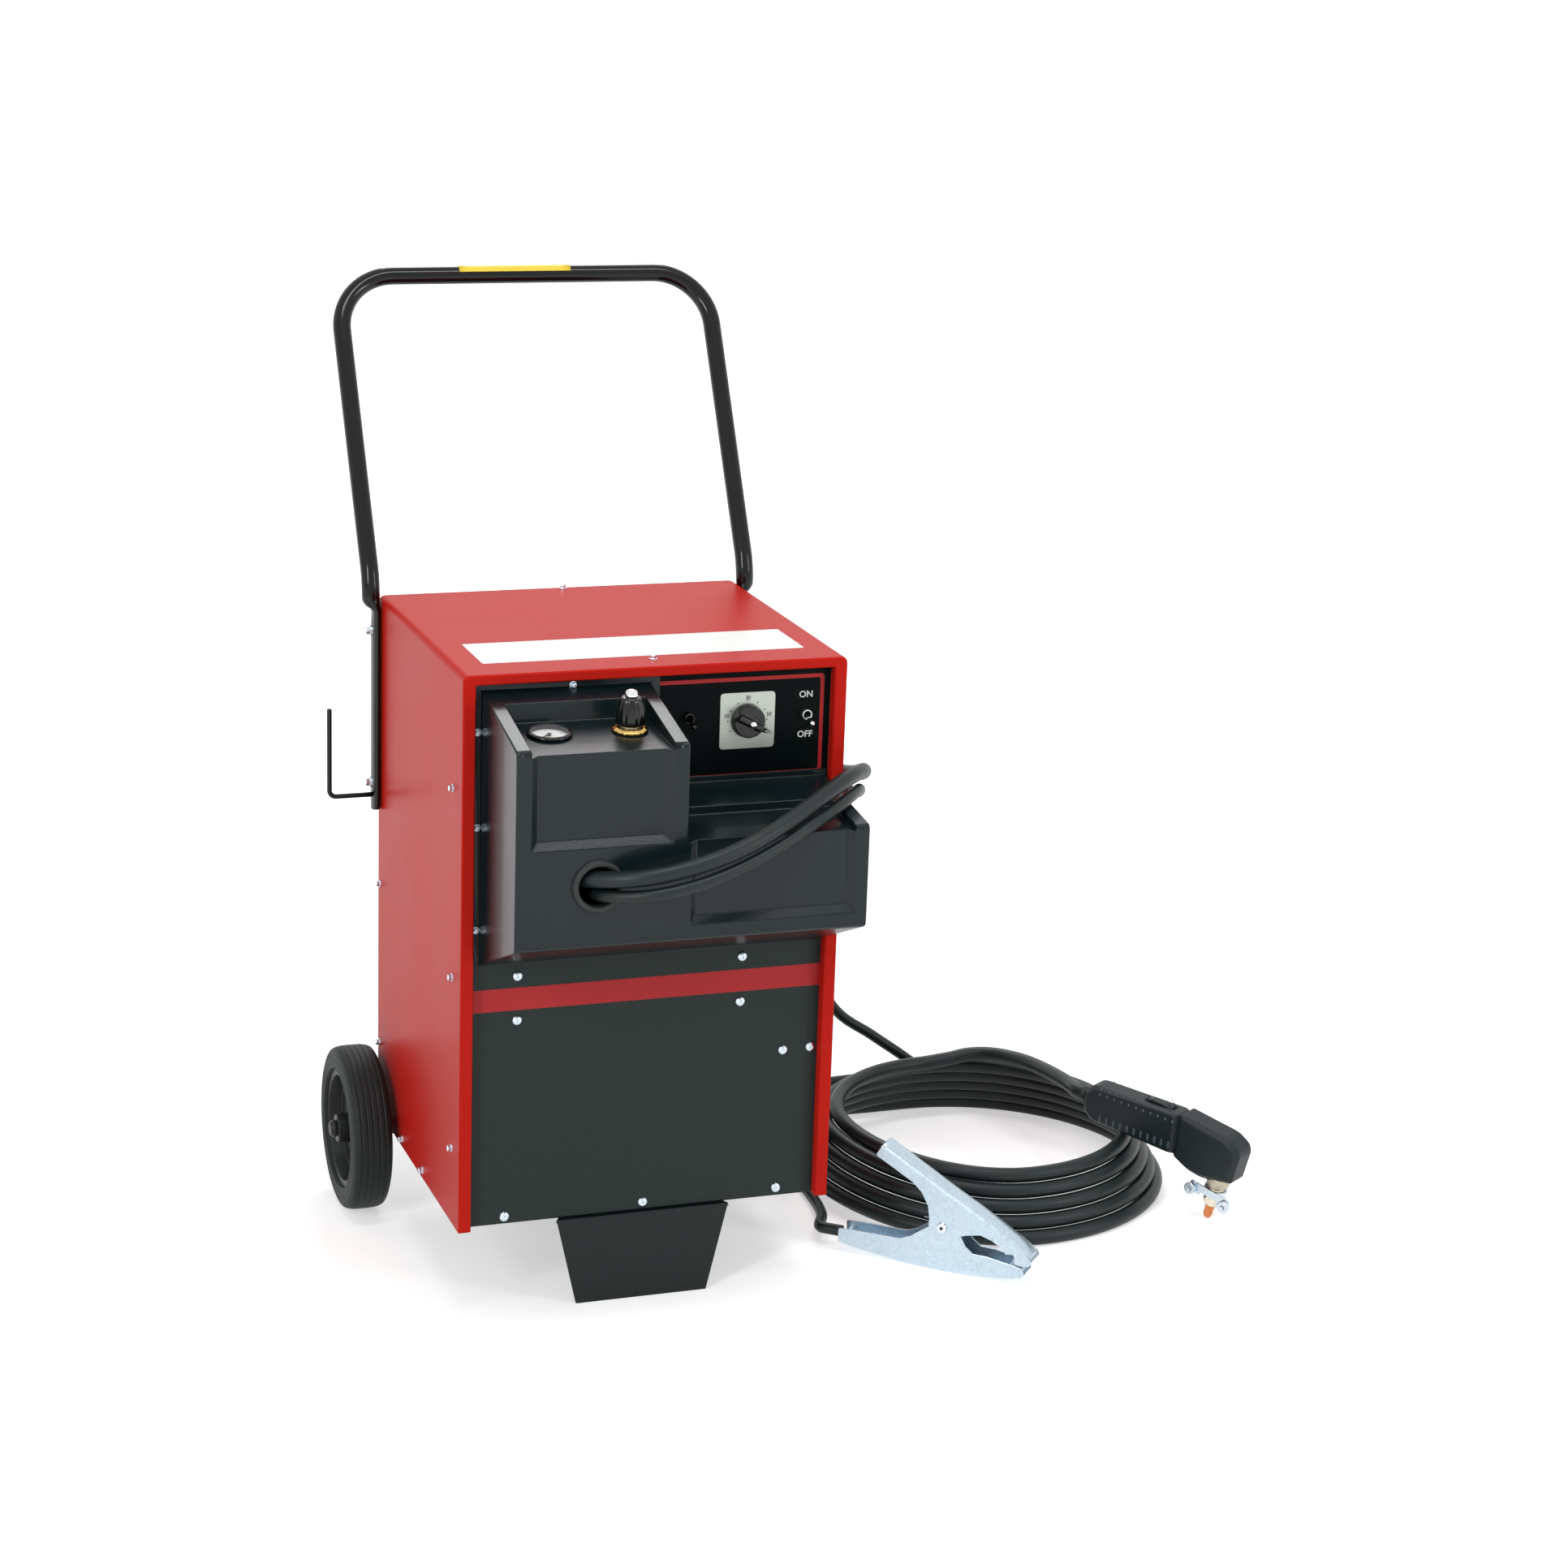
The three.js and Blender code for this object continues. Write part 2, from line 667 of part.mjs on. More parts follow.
const upright = (spot, radius, below, above, sides = 20) =>
  rod(
    vec(spot.x, spot.y, tallFloorAt(spot.y) - below),
    vec(spot.x, spot.y, tallFloorAt(spot.y) + above),
    radius,
    sides,
  );
piece(
  "front_cover",
  cut(
    coverOuter,
    coverShape(COVER_WALL, 10, COVER_RADIUS - 1),
    hole(CABLE_HOLE.x, CABLE_HOLE.z, CABLE_HOLE_RADIUS, coverFace - 10, coverFace + 20, 24),
    upright(GAUGE, GAUGE_RADIUS - 3 + 2 * FIT, 20, 20),
    upright(REGULATOR, REGULATOR_NECK_RADIUS + 2 * FIT, 20, 20),
  ),
  mouldedBlack,
);

// Rolled rubber edge of the cable hole.
const grommetRadius = CABLE_HOLE_RADIUS - FIT;
piece(
  "hole_grommet",
  turned(
    [
      [grommetRadius - 4.5, -2.5],
      [grommetRadius - 3, -5],
      [grommetRadius + 1.5, -5],
      [grommetRadius + 4, -FIT],
      [grommetRadius, -FIT],
      [grommetRadius, 5],
      [grommetRadius - 4.5, 5],
      [grommetRadius - 4.5, -2.5],
    ],
    Y_AXIS,
    vec(CABLE_HOLE.x, coverFace, CABLE_HOLE.z),
    24,
  ),
  rubberBlack,
);

// ---------------------------------------------------------------- gauge and regulator
const gaugeFloor = tallFloorAt(GAUGE.y);
const gaugeGroup = new THREE.Group();
gaugeGroup.position.set(GAUGE.x, GAUGE.y, gaugeFloor);
gaugeGroup.rotation.x = POCKET_TILT;
machine.add(gaugeGroup);
const gaugeBody = GAUGE_RADIUS - 3;
piece(
  "gauge_case",
  join(
    turned([
      [0, -GAUGE_DEPTH],
      [gaugeBody - 2, -GAUGE_DEPTH],
      [gaugeBody, -GAUGE_DEPTH + 2],
      [gaugeBody, 1.2],
      [GAUGE_RADIUS, 1.2],
      [GAUGE_RADIUS, 3.5],
      [GAUGE_RADIUS - 2, 5],
      [gaugeBody - 1, 5],
      [gaugeBody - 1, -2],
      [2, -2],
      [2, 0.5],
      [0, 0.5],
    ]),
    rod(vec(0, 0, -GAUGE_DEPTH + 1), vec(0, 0, -GAUGE_DEPTH - 14), 5, 8),
  ),
  glossBlack,
  gaugeGroup,
);
piece(
  "gauge_needle",
  join(
    turned(discProfile(2.6, 0.5 + FIT, 1.6), Z_AXIS, vec(0, 0, 0), 10),
    box(-1, 1, 0, 16, 0.8, 1.6).rotateZ(NEEDLE_REST),
  ),
  rubberBlack,
  gaugeGroup,
);
piece(
  "gauge_lens",
  turned(discProfile(gaugeBody - 1 - FIT, 2.4, 4), Z_AXIS, vec(0, 0, 0), 24),
  clearLens,
  gaugeGroup,
);

const regulatorGroup = new THREE.Group();
regulatorGroup.position.set(REGULATOR.x, REGULATOR.y, tallFloorAt(REGULATOR.y));
regulatorGroup.rotation.x = POCKET_TILT;
machine.add(regulatorGroup);
const neck = REGULATOR_NECK_RADIUS;
piece(
  "regulator_body",
  join(
    turned([
      [0, -62],
      [REGULATOR_BODY_RADIUS - 3, -62],
      [REGULATOR_BODY_RADIUS, -58],
      [REGULATOR_BODY_RADIUS, -6],
      [neck, -4],
      [neck, 8],
      [6, 8],
      [6, 11],
      [0, 11],
    ]),
    rod(vec(-34, 0, -38), vec(34, 0, -38), 9, 10),
  ),
  brushedAluminium,
  regulatorGroup,
);
piece(
  "regulator_nut",
  turned([
    [neck + FIT, FIT + 0.9],
    [REGULATOR_NUT_RADIUS, FIT + 0.9],
    [REGULATOR_NUT_RADIUS, 4],
    [REGULATOR_NUT_RADIUS - 3, 6],
    [neck + FIT, 6],
    [neck + FIT, FIT + 0.9],
  ]),
  brass,
  regulatorGroup,
);
piece(
  "regulator_knob",
  turned([
    [0, 13],
    [6 + RUNNING_FIT + 1, 13],
    [6 + RUNNING_FIT + 1, 9],
    [REGULATOR_KNOB_RADIUS - 1, 9],
    [REGULATOR_KNOB_RADIUS, 11],
    [REGULATOR_KNOB_RADIUS - 0.5, 22],
    [REGULATOR_KNOB_RADIUS - 4.5, 9 + REGULATOR_KNOB_HEIGHT - 4],
    [REGULATOR_KNOB_RADIUS - 7, 9 + REGULATOR_KNOB_HEIGHT],
    [6, 11 + REGULATOR_KNOB_HEIGHT + 3],
    [0, 12 + REGULATOR_KNOB_HEIGHT + 3],
  ]),
  mouldedBlack,
  regulatorGroup,
);

// ---------------------------------------------------------------- control panel
const half = SWITCH_PLATE / 2;
piece(
  "switch_plate",
  cut(
    alongY(
      roundedShape(
        [
          [AMPS.x - half, AMPS.z - half],
          [AMPS.x + half, AMPS.z - half],
          [AMPS.x + half, AMPS.z + half],
          [AMPS.x - half, AMPS.z + half],
        ],
        5,
      ),
      -1.5,
      -FIT,
    ),
    hole(AMPS.x, AMPS.z, SHAFT_HOLE, -5, 5),
  ),
  brushedAluminium,
);
piece(
  "amps_switch_body",
  cut(
    join(
      box(AMPS.x - 24, AMPS.x + 24, SHEET + FIT, 46, AMPS.z - 24, AMPS.z + 24),
      box(AMPS.x - 28, AMPS.x + 28, 28, 34, AMPS.z - 14, AMPS.z + 14),
    ),
    hole(AMPS.x, AMPS.z, AMPS_SHAFT_RADIUS + RUNNING_FIT, -5, 30),
  ),
  mouldedBlack,
);
// Round knob with a pointer wing; its shaft passes through plate and panel into the switch.
const knobBack = -1.5 - 1;
const ampsGroup = new THREE.Group();
ampsGroup.position.set(AMPS.x, 0, AMPS.z);
ampsGroup.rotation.y = THREE.MathUtils.degToRad(28);
machine.add(ampsGroup);
piece(
  "amps_knob",
  join(
    rod(vec(0, knobBack, 0), vec(0, knobBack - 9, 0), AMPS_KNOB_RADIUS, 24, AMPS_KNOB_RADIUS - 1.5),
    hull([
      vec(-20, knobBack - 8, -5),
      vec(-20, knobBack - 8, 5),
      vec(-17, knobBack - AMPS_KNOB_HEIGHT, -3),
      vec(-17, knobBack - AMPS_KNOB_HEIGHT, 3),
      vec(14, knobBack - AMPS_KNOB_HEIGHT, -3),
      vec(14, knobBack - AMPS_KNOB_HEIGHT, 3),
      vec(31, knobBack - 12, 0),
      vec(30, knobBack - 3, 0),
      vec(16, knobBack - 3, -5),
      vec(16, knobBack - 3, 5),
    ]),
    rod(vec(0, knobBack - 1, 0), vec(0, 24, 0), AMPS_SHAFT_RADIUS, 12),
  ),
  glossBlack,
  ampsGroup,
);

// A toggle switch: body behind the panel with a threaded bush through it, and a lever that tips
// about a cross pin in the bush.
function toggle(name, spot, leverMaterial) {
  const pivotY = 2;
  piece(
    `${name}_body`,
    cut(
      join(
        box(spot.x - 8, spot.x + 8, SHEET + FIT, 26, spot.z - 14, spot.z + 14),
        rod(vec(spot.x, 4, spot.z), vec(spot.x, -7, spot.z), TOGGLE_RADIUS, 16),
      ),
      rod(vec(spot.x, pivotY + 5, spot.z), vec(spot.x, -8, spot.z), 3.4, 12, 4.6),
    ),
    brightSteel,
  );
  const group = new THREE.Group();
  group.position.set(spot.x, pivotY, spot.z);
  group.rotation.x = TOGGLE_TILT;
  machine.add(group);
  piece(
    `${name}_lever`,
    join(
      rod(vec(0, 0, 0), vec(0, -9 - TOGGLE_LEVER, 0), 1.8, 10, 2.8),
      new THREE.SphereGeometry(2.8, 8, 5),
      new THREE.SphereGeometry(3.2, 8, 5).translate(0, -9 - TOGGLE_LEVER, 0),
    ),
    leverMaterial,
    group,
  );
}
toggle("run_toggle", RUN_TOGGLE, glossBlack);
toggle("power_toggle", POWER_TOGGLE, brightSteel);

// ---------------------------------------------------------------- foot, axle and wheels
// A bent plate: a tapering front face with a top flange and a sole turned back from it.
const under = BOTTOM - FIT;
const footFace = -5;
const [footTop, footBase] = [FOOT_TOP_WIDTH / 2, FOOT_BASE_WIDTH / 2];
const footFront = roundedShape([
  [-footBase, 0],
  [footBase, 0],
  [footTop, under],
  [-footTop, under],
]);
function footFlange(half, low) {
  const rearHalf = half - FOOT_NARROW;
  const plan = roundedShape([
    [-half, footFace],
    [half, footFace],
    [rearHalf, footFace + FOOT_DEPTH, 8],
    [-rearHalf, footFace + FOOT_DEPTH, 8],
  ]);
  const flange = new THREE.ExtrudeGeometry(plan, {
    depth: FOOT_PLATE,
    bevelEnabled: false,
    curveSegments: 3,
  });
  return flange.translate(0, 0, low);
}
piece(
  "foot",
  join(
    alongY(footFront, footFace, footFace + FOOT_PLATE),
    footFlange(footBase, 0),
    footFlange(footTop, under - FOOT_PLATE),
  ),
  blackPaint,
);

const axleY = REAR - AXLE_INSET;
const wheelInner = SIDE + WHEEL_GAP;
const wheelMiddle = wheelInner + WHEEL_WIDTH / 2;
const axleEnd = wheelInner + WHEEL_WIDTH + 6;
piece(
  "axle",
  rod(vec(-axleEnd, axleY, WHEEL_RADIUS), vec(axleEnd, axleY, WHEEL_RADIUS), AXLE_RADIUS, 16),
  steelGrey,
);
for (const [name, side] of [
  ["left", -1],
  ["right", 1],
]) {
  const place = vec(side * wheelMiddle, axleY, WHEEL_RADIUS);
  // Saddle clamp under the tray, round the axle.
  const clampX = side * (SIDE - AXLE_CLAMP_INSET);
  const clampHalf = AXLE_CLAMP_WIDTH / 2;
  piece(
    `axle_clamp_${name}`,
    cut(
      join(
        box(clampX - clampHalf, clampX + clampHalf, axleY - 24, axleY + 24, under - 3, under),
        box(clampX - clampHalf, clampX + clampHalf, axleY - 11, axleY + 11, WHEEL_RADIUS - 10, under - 1),
      ),
      rod(
        vec(clampX - 20, axleY, WHEEL_RADIUS),
        vec(clampX + 20, axleY, WHEEL_RADIUS),
        AXLE_RADIUS + FIT,
        16,
      ),
    ),
    blackPaint,
  );
  const hubHalf = WHEEL_WIDTH / 2 - 6;
  const bore = AXLE_RADIUS + RUNNING_FIT;
  piece(
    `hub_${name}`,
    turned(
      [
        [bore, -WHEEL_WIDTH / 2 - 1],
        [17, -WHEEL_WIDTH / 2 - 1],
        [19, -4],
        [RIM_RADIUS - 12, -4],
        [RIM_RADIUS - 8, -hubHalf - 2],
        [RIM_RADIUS - FIT, -hubHalf - 2],
        [RIM_RADIUS - FIT, hubHalf + 2],
        [RIM_RADIUS - 8, hubHalf + 2],
        [RIM_RADIUS - 12, 4],
        [19, 4],
        [17, WHEEL_WIDTH / 2 + 1],
        [bore, WHEEL_WIDTH / 2 + 1],
        [bore, -WHEEL_WIDTH / 2 - 1],
      ],
      X_AXIS,
      place,
      28,
    ),
    mouldedBlack,
  );
  const tyreHalf = WHEEL_WIDTH / 2;
  piece(
    `tyre_${name}`,
    turned(
      [
        [RIM_RADIUS, -tyreHalf + 2],
        [RIM_RADIUS + 3, -tyreHalf],
        [WHEEL_RADIUS - 10, -tyreHalf],
        [WHEEL_RADIUS - 3, -tyreHalf + 4],
        [WHEEL_RADIUS, -tyreHalf + 10],
        [WHEEL_RADIUS, tyreHalf - 10],
        [WHEEL_RADIUS - 3, tyreHalf - 4],
        [WHEEL_RADIUS - 10, tyreHalf],
        [RIM_RADIUS + 3, tyreHalf],
        [RIM_RADIUS, tyreHalf - 2],
        [RIM_RADIUS, -tyreHalf + 2],
      ],
      X_AXIS,
      place,
      40,
    ),
    rubberBlack,
  );
  // Pressed cap that keeps the wheel on the axle's end.
  const capAt = vec(side * (wheelInner + WHEEL_WIDTH + 2), axleY, WHEEL_RADIUS);
  piece(
    `axle_cap_${name}`,
    turned(
      [
        [AXLE_RADIUS + FIT, 0],
        [11, 0],
        [11, 3],
        [8.5, 7],
        [0, 8],
        [0, 4 + FIT],
        [AXLE_RADIUS + FIT, 4 + FIT],
        [AXLE_RADIUS + FIT, 0],
      ],
      vec(side, 0, 0),
      capAt,
      16,
    ),
    zincSteel,
  );
}

// ---------------------------------------------------------------- push handle and hooks
const handleTop = TOP + HANDLE_RISE;
const legX = SIDE + FIT + HANDLE_FLAT / 2;
const legY = REAR - HANDLE_REAR_INSET;
const handlePoints = [];
const handleSizes = [];
function handlePoint(point, thick, deep) {
  handlePoints.push(point);
  handleSizes.push([thick, deep]);
}
// One leg from its flat lower end to where the top corner starts; side is -1 or 1.
function handleLeg(side) {
  const outward = HANDLE_TUBE / 2 - HANDLE_FLAT / 2;
  const tube = HANDLE_TUBE / 2;
  const flat = [HANDLE_FLAT / 2, HANDLE_FLAT_DEPTH / 2];
  const x = side * legX;
  const roundX = side * (legX + outward);
  const points = [
    [vec(x, legY, TOP - HANDLE_LEG_DROP), [flat[0], flat[1] * 0.72]],
    [vec(x, legY, TOP - HANDLE_LEG_DROP + 6), flat],
    [vec(x, legY, TOP - 16), flat],
    [vec(roundX, legY, TOP - 2), [tube, tube]],
  ];
  for (const turn of [0.25, 0.5, 0.75, 1]) {
    const direction = vec(0, Math.sin(HANDLE_LEAN * turn), Math.cos(HANDLE_LEAN * turn));
    const last = points[points.length - 1][0];
    points.push([last.clone().addScaledVector(direction, 10), [tube, tube]]);
  }
  return points;
}
const leftLeg = handleLeg(-1);
const rightLeg = handleLeg(1);
const lastLeft = leftLeg[leftLeg.length - 1][0];
const lean = vec(0, Math.sin(HANDLE_LEAN), Math.cos(HANDLE_LEAN));
const run = (handleTop - lastLeft.z) / lean.z;
const cornerLeft = lastLeft.clone().addScaledVector(lean, run);
const cornerRight = cornerLeft.clone().setX(-cornerLeft.x);
leftLeg.forEach(([point, sizes]) => handlePoint(point, ...sizes));
// A round corner between the leaning leg and the level bar.
function handleCorner(corner, from, to) {
  for (let i = 0; i <= 5; i++) {
    const angle = (i / 5) * (Math.PI / 2);
    const point = corner
      .clone()
      .addScaledVector(from, -HANDLE_BEND)
      .addScaledVector(to, HANDLE_BEND)
      .addScaledVector(from, HANDLE_BEND * Math.sin(angle))
      .addScaledVector(to, -HANDLE_BEND * Math.cos(angle));
    handlePoint(point, HANDLE_TUBE / 2, HANDLE_TUBE / 2);
  }
}
handleCorner(cornerLeft, lean, X_AXIS);
handleCorner(cornerRight, X_AXIS, lean.clone().negate());
rightLeg.reverse().forEach(([point, sizes]) => handlePoint(point, ...sizes));
const boltHole = (x, z) =>
  rod(vec(x - 20, legY, z), vec(x + 20, legY, z), BOLT_RADIUS + FIT, 10);
const hookZ = TOP - HOOK_DROP;
const hookBore = (x) =>
  rod(vec(x - 20, legY, hookZ), vec(x + 20, legY, hookZ), HOOK_ROD / 2 + FIT, 8);
const boltHoles = [-1, 1].flatMap((side) =>
  BOLT_DROPS.map((drop) => boltHole(side * legX, TOP - drop)),
);
const hookHoles = [-1, 1].map((side) => hookBore(side * (legX + HANDLE_FLAT)));
piece(
  "handle",
  cut(
    sweep(handlePoints, (i) => handleSizes[i], 12, X_AXIS),
    ...boltHoles,
    ...hookHoles,
  ),
  glossBlack,
);
for (const [name, side] of [
  ["left", -1],
  ["right", 1],
]) {
  // Rod hook: out from the leg, then up.
  const start = side * (legX + FIT);
  const bendAt = side * (SIDE + 11 + HOOK_REACH);
  const points = [vec(start, legY, hookZ)];
  for (let i = 0; i <= 4; i++) {
    const angle = (i / 4) * (Math.PI / 2);
    points.push(
      vec(
        bendAt - side * 8 * (1 - Math.sin(angle)),
        legY,
        hookZ + 8 * (1 - Math.cos(angle)),
      ),
    );
  }
  points.push(vec(bendAt, legY, hookZ + HOOK_HEIGHT));
  const hookRadius = HOOK_ROD / 2;
  piece(`hook_${name}`, sweep(points, () => [hookRadius, hookRadius], 10, Y_AXIS), blackPaint);
}

// ---------------------------------------------------------------- leads
// A round cord through hand-laid points, each end straight for one diameter.
function cordPath(points, diameter, step) {
  const first = points[0].clone();
  const last = points[points.length - 1].clone();
  const inward = points[1].clone().sub(first).setLength(diameter);
  const outwardEnd = points[points.length - 2].clone().sub(last).setLength(diameter);
  const start = first.clone().add(inward);
  const end = last.clone().add(outwardEnd);
  const curve = new THREE.CatmullRomCurve3(
    [start, ...points.slice(2, -2), end],
    false,
    "centripetal",
  );
  const count = Math.round(curve.getLength() / step);
  return [first, ...curve.getSpacedPoints(count), last];
}
const pathLength = (points) =>
  points.slice(1).reduce((sum, point, i) => sum + point.distanceTo(points[i]), 0);

function cord(name, points, diameter, sides) {
  const radius = diameter / 2;
  const side = Math.abs(points[1].clone().sub(points[0]).normalize().z) > 0.9 ? X_AXIS : Z_AXIS;
  piece(name, sweep(points, () => [radius, radius], sides, side), rubberBlack);
  console.log(name, "length", (pathLength(points) / 1000).toFixed(2), "m");
}

// The torch hose's coil on the floor, wound clockwise seen from above: a cone of five turns. Each
// turn stays level until its left quarter, where it climbs and draws in on to the turn under it;
// the last one lies flatter.
const COIL_STEPS = 24;
const coilBase = HOSE_DIAMETER / 2 + 0.2;
const climbed = (turns) => THREE.MathUtils.smoothstep(turns, 0, 0.25);
function coilSection(turns) {
  if (turns > COIL_TURNS - 0.5) {
    const [radius, height] = coilSection(turns - 1);
    const share = climbed(turns - COIL_TURNS + 0.5);
    const lie = THREE.MathUtils.lerp(COIL_LIE, COIL_LAST_LIE, share);
    return [radius - COIL_PITCH * Math.cos(lie), height + COIL_PITCH * Math.sin(lie)];
  }
  let level = 0;
  for (let turn = 0; turn < COIL_TURNS - 1; turn++) level += climbed(turns - turn - 0.5);
  const pitch = level * COIL_PITCH;
  return [COIL_RADIUS - pitch * Math.cos(COIL_LIE), coilBase + pitch * Math.sin(COIL_LIE)];
}
function coilPoint(turns) {
  const [radius, height] = coilSection(turns);
  const angle = Math.PI / 2 - 2 * Math.PI * turns;
  return vec(COIL_X + radius * Math.cos(angle), COIL_Y + radius * Math.sin(angle), height);
}
const coilPoints = [coilPoint(0).add(vec(-HOSE_DIAMETER, 0, 0))];
for (let i = 0; i <= COIL_TURNS * COIL_STEPS; i++) coilPoints.push(coilPoint(i / COIL_STEPS));
const coilAway = vec(HOSE_DIAMETER, -1.8, 2.4); // the hose leaves the last turn this way
coilPoints.push(coilPoint(COIL_TURNS).add(coilAway));
piece(
  "torch_hose_coil",
  sweep(coilPoints, () => [HOSE_DIAMETER / 2, HOSE_DIAMETER / 2], 6, Z_AXIS),
  rubberBlack,
);
let leastGap = Infinity;
for (let i = 0; i < coilPoints.length; i++)
  for (let j = i + COIL_STEPS / 2; j < coilPoints.length; j++)
    leastGap = Math.min(leastGap, coilPoints[i].distanceTo(coilPoints[j]) - HOSE_DIAMETER);
console.log("coil length", (pathLength(coilPoints) / 1000).toFixed(2), "m");
console.log("coil least self gap", leastGap.toFixed(2), "mm");

// From the gland out through the cover's hole, over the low block, round the cabinet's side,
// over the right hook and down behind the wheel to the coil.
const hoseStart = vec(HOSE_GLAND.x, -14 - FIT, HOSE_GLAND.z);
const coilStart = coilPoints[0].clone().add(vec(-FIT, 0, 0));
cord(
  "torch_hose",
  cordPath(
    [
      hoseStart,
      hoseStart.clone().add(vec(0, -HOSE_DIAMETER, 0)),
      vec(-148, -70, 555),
      vec(-136, -112, 562),
      vec(-111, -152, 568),
      vec(-66, -184, 576),
      vec(-5, -188, 587),
      vec(52, -177, 601),
      vec(110, -152, 619),
      vec(165, -116, 636),
      vec(210, -77, 644),
      vec(240, -36, 637),
      vec(254, 6, 623),
      vec(259, 60, 607),
      vec(261, 180, 580),
      vec(258, 300, 552),
      vec(252, 384, 536.5),
      vec(260, 440, 500),
      vec(275, 475, 400),
      vec(292, 486, 250),
      vec(322, 486, 110),
      vec(365, 484, 40),
      vec(420, 485, 13),
      vec(462, coilStart.y, coilBase),
      coilStart.clone().add(vec(-HOSE_DIAMETER, 0, 0)),
      coilStart,
    ],
    HOSE_DIAMETER,
    42,
  ),
  HOSE_DIAMETER,
  10,
);

// ---------------------------------------------------------------- torch
// The handle's own frame: x from the hose to the head, z up through the head's top.
const torchRear = vec(657.5, 188, 118);
const torchStep = vec(730.5, 76, 107);
const torchTip = vec(759.8, 36.2, 0);
const torchAxis = torchStep.clone().sub(torchRear).normalize();
const towardTip = torchTip.clone().sub(torchStep);
const torchUp = towardTip.addScaledVector(torchAxis, -towardTip.dot(torchAxis)).normalize().negate();
const torchSide = torchUp.clone().cross(torchAxis);
const torch = new THREE.Group();
torch.quaternion.setFromRotationMatrix(
  new THREE.Matrix4().makeBasis(torchAxis, torchSide, torchUp),
);
torch.position.copy(torchRear);
machine.add(torch);

// A convex shape drawn in the (x, z) plane with its width along y and its edges eased.
function torchSlab(corners, width, radius, bevel) {
  const outline = roundedShape(corners, radius).getPoints(3);
  const middle = outline
    .reduce((sum, point) => sum.add(point), new THREE.Vector2())
    .divideScalar(outline.length);
  const points = [];
  for (const point of outline) {
    const inner = point.clone().add(middle.clone().sub(point).setLength(bevel));
    for (const side of [-1, 1]) {
      points.push(vec(point.x, side * (width / 2 - bevel), point.y));
      points.push(vec(inner.x, (side * width) / 2, inner.y));
    }
  }
  return hull(points);
}
const gripTall = TORCH_TALL / 2;
const headAt = vec(TORCH_HEAD_REACH, 0, -TORCH_HEAD_SINK);
const grip = torchSlab(
  [
    [0, -14],
    [0, 12],
    [14, gripTall - 2],
    [TORCH_GRIP_LENGTH, gripTall],
    [TORCH_GRIP_LENGTH, -gripTall - 3],
    [12, -gripTall],
  ],
  TORCH_WIDTH,
  5,
  7,
);
const head = torchSlab(
  [
    [TORCH_GRIP_LENGTH - 3, -gripTall - 4, 3],
    [TORCH_GRIP_LENGTH + 1, gripTall + 3, 3],
    [headAt.x + 8, gripTall - 6, 6],
    [headAt.x + 25, 10, 8],
    [headAt.x + 28, 0, 3],
    [headAt.x + 21, headAt.z - 18, 3],
    [headAt.x - 22, headAt.z - 25, 6],
    [TORCH_GRIP_LENGTH + 20, -gripTall - 16, 6],
  ],
  TORCH_WIDTH + 4,
  5,
  6,
);
// The tip points down and ten degrees back from square to the grip.
const nozzleTurn = -THREE.MathUtils.degToRad(100);
const nozzleDown = vec(Math.cos(nozzleTurn), 0, Math.sin(nozzleTurn));
const nozzle = new THREE.Group();
nozzle.position.copy(headAt);
nozzle.quaternion.setFromUnitVectors(Z_AXIS, nozzleDown.clone().negate());
torch.add(nozzle);
const triggerSlot = box(
  TORCH_GRIP_LENGTH - 58,
  TORCH_GRIP_LENGTH - 16,
  -6 - FIT,
  6 + FIT,
  gripTall - 7,
  gripTall + 10,
);
const nozzleSocket = rod(
  headAt.clone().addScaledVector(nozzleDown, 8),
  headAt.clone().addScaledVector(nozzleDown, 60),
  COLLAR_RADIUS + FIT,
  20,
);
piece("torch_handle", cut(join(grip, head), triggerSlot, nozzleSocket), mouldedBlack, torch);

// Sprung trigger lever in the slot on the grip's top.
const trigger = new THREE.Group();
trigger.position.set(TORCH_GRIP_LENGTH - 20, 0, gripTall - 2.5);
torch.add(trigger);
piece(
  "torch_trigger",
  join(
    torchSlab(
      [
        [-36, -1],
        [-36, 2],
        [-30, 5.5],
        [-10, 4.5],
        [2, 2],
        [2, -2],
      ],
      12,
      1.5,
      0,
    ),
    rod(vec(0, -5.5, 0), vec(0, 5.5, 0), 2.4, 10),
  ),
  rubberBlack,
  trigger,
);
// Nozzle stack along the tip's direction: collar, shield cup, copper tip.
const down = (profile) => profile.map(([radius, depth]) => [radius, -depth]);
piece(
  "torch_collar",
  turned(down([
    [0, 8 + FIT],
    [COLLAR_RADIUS, 8 + FIT],
    [COLLAR_RADIUS, 35],
    [0, 35],
  ]), Z_AXIS, vec(0, 0, 0), 20),
  brightSteel,
  nozzle,
);
const cupTop = 35 + FIT;
piece(
  "shield_cup",
  turned(down([
    [0, cupTop],
    [12, cupTop],
    [12.5, cupTop + 14],
    [10.5, 62],
    [6.5, 62],
    [6.5, 56],
    [0, 56],
  ]), Z_AXIS, vec(0, 0, 0), 20),
  zincSteel,
  nozzle,
);
const tipEnd = 81.2;
piece(
  "torch_tip",
  turned(down([
    [0, 56 + FIT],
    [6.5 - FIT, 56 + FIT],
    [6.5 - FIT, 72],
    [4.5, tipEnd],
    [0, tipEnd],
  ]), Z_AXIS, vec(0, 0, 0), 16),
  copper,
  nozzle,
);
